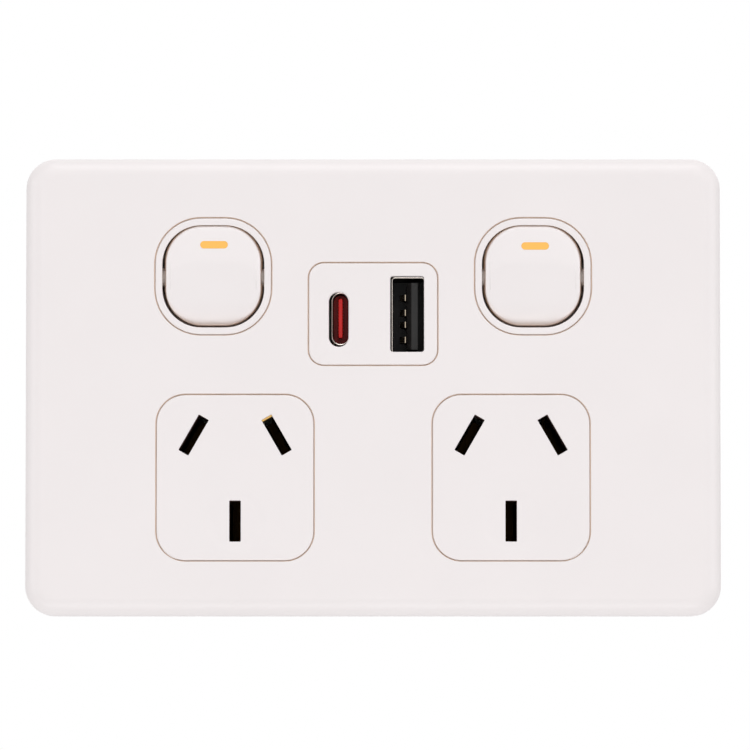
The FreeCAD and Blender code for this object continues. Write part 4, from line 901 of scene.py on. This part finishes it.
def make_rear_housing():
    """Tray with softened back edges, screw posts and openings for the terminals and the charger."""
    form = Form()
    rows = [(grown(HOUSING, -HOUSING_WALL), HOUSING_FLOOR), (grown(HOUSING, -HOUSING_WALL), FLANGE_BACK),
            (grown(HOUSING, 0.0), FLANGE_BACK)]
    rows += [(grown(HOUSING, -inset), HOUSING_BACK + drop)
             for inset, drop in rounding(HOUSING_EDGE, steps=5)]
    floor, back = form.chain([(placed(points, 0.0, HOUSING_MIDDLE), depth) for points, depth in rows])
    floors, backs = [floor], [back]
    spigot = grown(CHARGER, SPIGOT_WALL + SPIGOT_FIT - CHARGER_WALL)
    openings = [placed(spigot, 0.0, CHARGER_RISE)]
    openings += [placed(squared(SEAT_HALF, count=8), x, z) for x, z in TERMINALS.values()]
    for points in openings:
        first, last = form.chain([(points, HOUSING_BACK), (points, HOUSING_FLOOR)])
        backs.append(first)
        floors.append(last)
    well, hole = ring(HEAD_WELL, ROUND_SIDES), ring(POST_HOLE, ROUND_SIDES)
    post = squared(POST_HALF, ROUND_SIDES)
    for x, z in SCREW_PLACES:
        rows = [(ring(HEAD_WELL + HEAD_WELL_EDGE, ROUND_SIDES), HOUSING_BACK),
                (well, HOUSING_BACK + HEAD_WELL_EDGE), (well, HEAD_SEAT), (hole, HEAD_SEAT),
                (hole, POST_FRONT), (post, POST_FRONT), (post, HOUSING_FLOOR)]
        first, last = form.chain([(placed(points, x, z), depth) for points, depth in rows])
        backs.append(first)
        floors.append(last)
    form.fill(*backs)
    form.fill(*floors)
    piece = form.finish("rear_tray", [finishes["housing_plastic"]])
    settle(piece, "base", "housing_plastic", "rear_housing")


def make_charger_housing():
    """Cup over the power supply with softened edges and its spigot."""
    form = Form()
    well = grown(CHARGER, -CHARGER_WALL)
    spigot = grown(CHARGER, SPIGOT_WALL - CHARGER_WALL)
    rows = [(well, CHARGER_BACK + CHARGER_WALL), (well, HOUSING_FLOOR), (spigot, HOUSING_FLOOR),
            (spigot, HOUSING_BACK), (grown(CHARGER, 0.0), HOUSING_BACK)]
    rows += [(grown(CHARGER, -inset), CHARGER_BACK + drop)
             for inset, drop in rounding(CHARGER_EDGE, steps=5)]
    form.capped(rows)
    piece = form.finish("charger_cup", [finishes["housing_plastic"]], moved(0, CHARGER_RISE))
    settle(piece, "base", "housing_plastic", "charger_housing")


def make_shroud(pole, x, z):
    """Wall round three sides of a terminal with a softened back edge."""
    form = Form()
    inner, outer = SEAT_HALF, SEAT_HALF + SHROUD_WALL
    levels = [(0.0, HOUSING_BACK)] + [(inset, SHROUD_BACK + rise) for inset, rise in SHROUD_EDGE]
    rows = []
    for soft, depth in levels:
        near, far, foot = inner + soft, outer - soft, soft - inner
        rows.append(([(-far, foot), (-near, foot), (-near, near), (near, near), (near, foot), (far, foot),
                      (far, far), (-far, far)], depth))
    front, back = form.chain(rows)
    form.fill(front)
    form.fill(back)
    piece = form.finish("shroud_" + pole, [finishes["housing_plastic"]], moved(x, z))
    settle(piece, "base", "housing_plastic", pole + "_shroud")


def make_screws(name, node, finish, places, head, head_back, head_front, shank, shank_front):
    """Cross-head screws seen from their heads. Head and shank are radii, the others depths."""
    form = Form()
    for x, z in places:
        rows = [(ring(shank, ROUND_SIDES), shank_front), (ring(shank, ROUND_SIDES), head_front),
                (ring(head, ROUND_SIDES), head_front)]
        rows += [(ring(head - inset, ROUND_SIDES), head_back + drop)
                 for inset, drop in rounding(HEAD_EDGE, steps=4)]
        tip, rim = form.chain([(placed(points, x, z), depth) for points, depth in rows])
        form.bm.faces.new(tip)
        mouth_points, floor_points = [placed(cross(arm * head, half * head), x, z)
                                      for arm, half in (CROSS_MOUTH, CROSS_FLOOR)]
        mouth = form.loop(mouth_points, head_back)
        floor = form.loop(floor_points, head_back + CROSS_DEPTH)
        # The recess walls and floor take the darker metal, painted shade.
        form.skin(mouth, floor, slot=1)
        form.fill(rim, mouth)
        form.fill(floor, slot=1)
    piece = form.finish(name, [finishes[finish], painted_recess_shade])
    settle(piece, "base", finish, node)


make_cover()
make_rear_housing()
make_charger_housing()
for pole, (x, z) in TERMINALS.items():
    make_shroud(pole, x, z)
make_screws("tray_screws", "housing_screws", "screw_steel", SCREW_PLACES, head=2.2,
            head_back=HOUSING_BACK, head_front=HEAD_SEAT, shank=1.25, shank_front=0.95)
make_screws("wire_screws", "terminal_screws", "terminal_screw_brass", TERMINALS.values(), head=2.5,
            head_back=-23.2, head_front=-22.0, shank=1.45, shank_front=-20.45)
for hand, (x, z) in zip(HANDS, SOCKET_PLACES):
    make_socket_face(hand, x, z)
for hand, (x, z) in zip(HANDS, SWITCH_PLACES):
    make_bezel(hand, x, z)
    make_rocker(hand, x, z)
    make_mark(hand, x, z)
    make_spring(hand, x, z)
make_insert()
make_shell("port_a_shell", A_SHELL, A_CENTRE, "usb_a_shell")
make_shell("port_c_shell", C_SHELL, C_CENTRE, "usb_c_shell")
make_a_contacts()
make_c_tongue()
make_c_contacts()
make_clip_edge()


# Stage, light and camera

FLOOR_HALF = 4000.0
FLOOR_LEVEL = -1300.0
FLOOR_LIFT = 0.3
PURE_WHITE = (1.0, 1.0, 1.0, 1.0)
WORLD_LIGHT = 0.535
# The camera's distances are in metres. Its shift is in pixels of the photograph's frame.
DISTANCE = 0.88
RISE = math.radians(-2.8)
VIEW_WIDTH = 0.1242
SENSOR_WIDTH = 36.0
FRAME_PIXELS = 750
SHIFT_PIXELS = (1.9, 11.5)


def seen_share(nodes, links):
    """1 for what the camera sees, straight, in gloss or through glass, and 0 for light on the object."""
    path = nodes.new("ShaderNodeLightPath")
    share = path.outputs["Is Camera Ray"]
    for kind in ("Is Transmission Ray", "Is Glossy Ray"):
        either = nodes.new("ShaderNodeMath")
        either.operation = "MAXIMUM"
        links.new(share, either.inputs[0])
        links.new(path.outputs[kind], either.inputs[1])
        share = either.outputs[0]
    return share


def make_floor():
    """Pale floor well below the plate. The camera sees it a little lighter than it is lit."""
    form = Form()
    corners = [form.bm.verts.new((side * FLOOR_HALF * MM, depth * FLOOR_HALF * MM, FLOOR_LEVEL * MM))
               for side, depth in ((-1, -1), (1, -1), (1, 1), (-1, 1))]
    form.bm.faces.new(corners)
    floor_finish = material("floor_pale", linear(243, 243, 243), 0.7, variation=0.01, grain=40.0, bump=0.02)
    nodes, links = floor_finish.node_tree.nodes, floor_finish.node_tree.links
    lift = nodes.new("ShaderNodeMath")
    lift.operation = "MULTIPLY"
    lift.inputs[1].default_value = FLOOR_LIFT
    links.new(seen_share(nodes, links), lift.inputs[0])
    shader = nodes["Principled BSDF"]
    shader.inputs["Emission Color"].default_value = PURE_WHITE
    links.new(lift.outputs[0], shader.inputs["Emission Strength"])
    floor = form.finish("floor", [floor_finish], weighted=False)


def white_background(nodes, strength):
    """White background of a given strength for the world."""
    background = nodes.new("ShaderNodeBackground")
    background.inputs["Color"].default_value = PURE_WHITE
    background.inputs["Strength"].default_value = strength
    return background


def make_world():
    """Even pale surroundings that the camera and reflections see as white."""
    world = bpy.data.worlds.new("studio")
    bpy.context.scene.world = world
    world.use_nodes = True
    nodes, links = world.node_tree.nodes, world.node_tree.links
    nodes.clear()
    output = nodes.new("ShaderNodeOutputWorld")
    mix = nodes.new("ShaderNodeMixShader")
    links.new(seen_share(nodes, links), mix.inputs["Fac"])
    links.new(white_background(nodes, WORLD_LIGHT).outputs[0], mix.inputs[1])
    links.new(white_background(nodes, 1.0).outputs[0], mix.inputs[2])
    links.new(mix.outputs[0], output.inputs["Surface"])


def make_lamp(name, place, size, power):
    """Soft rectangular lamp aimed at the plate. Its place and size are in metres."""
    data = bpy.data.lights.new(name, "AREA")
    data.shape = "RECTANGLE"
    data.size, data.size_y = size
    data.energy = power
    lamp = bpy.data.objects.new(name, data)
    bpy.context.scene.collection.objects.link(lamp)
    lamp.location = place
    lamp.rotation_mode = "QUATERNION"
    lamp.rotation_quaternion = (-Vector(place)).to_track_quat("-Z", "Y")


def make_camera():
    """Camera in front of the plate and below its middle, looking slightly up."""
    data = bpy.data.cameras.new("camera")
    data.sensor_width = SENSOR_WIDTH
    data.lens = SENSOR_WIDTH * DISTANCE / VIEW_WIDTH
    data.shift_x = SHIFT_PIXELS[0] / FRAME_PIXELS
    data.shift_y = SHIFT_PIXELS[1] / FRAME_PIXELS
    data.clip_start = 0.05
    data.clip_end = 20.0
    camera = bpy.data.objects.new("camera", data)
    bpy.context.scene.collection.objects.link(camera)
    aim = Vector((0.0, -FACE_DEPTH * MM, 0.0))
    away = Vector((0.0, -math.cos(RISE), math.sin(RISE)))
    camera.location = aim + away * DISTANCE
    camera.rotation_mode = "QUATERNION"
    camera.rotation_quaternion = (-away).to_track_quat("-Z", "Y")
    bpy.context.scene.camera = camera


make_floor()
make_world()
make_lamp("key", (0.1, -0.45, 1.1), (0.9, 0.6), 6.0)
make_lamp("fill_left", (-1.1, -0.4, 0.1), (0.6, 0.9), 2.6)
make_lamp("fill_low", (0.0, -0.7, -0.85), (1.0, 0.4), 4.4)
make_lamp("fill_right", (1.1, -0.4, 0.15), (0.6, 0.9), 2.5)
make_camera()
bpy.context.scene.view_settings.view_transform = "Standard"
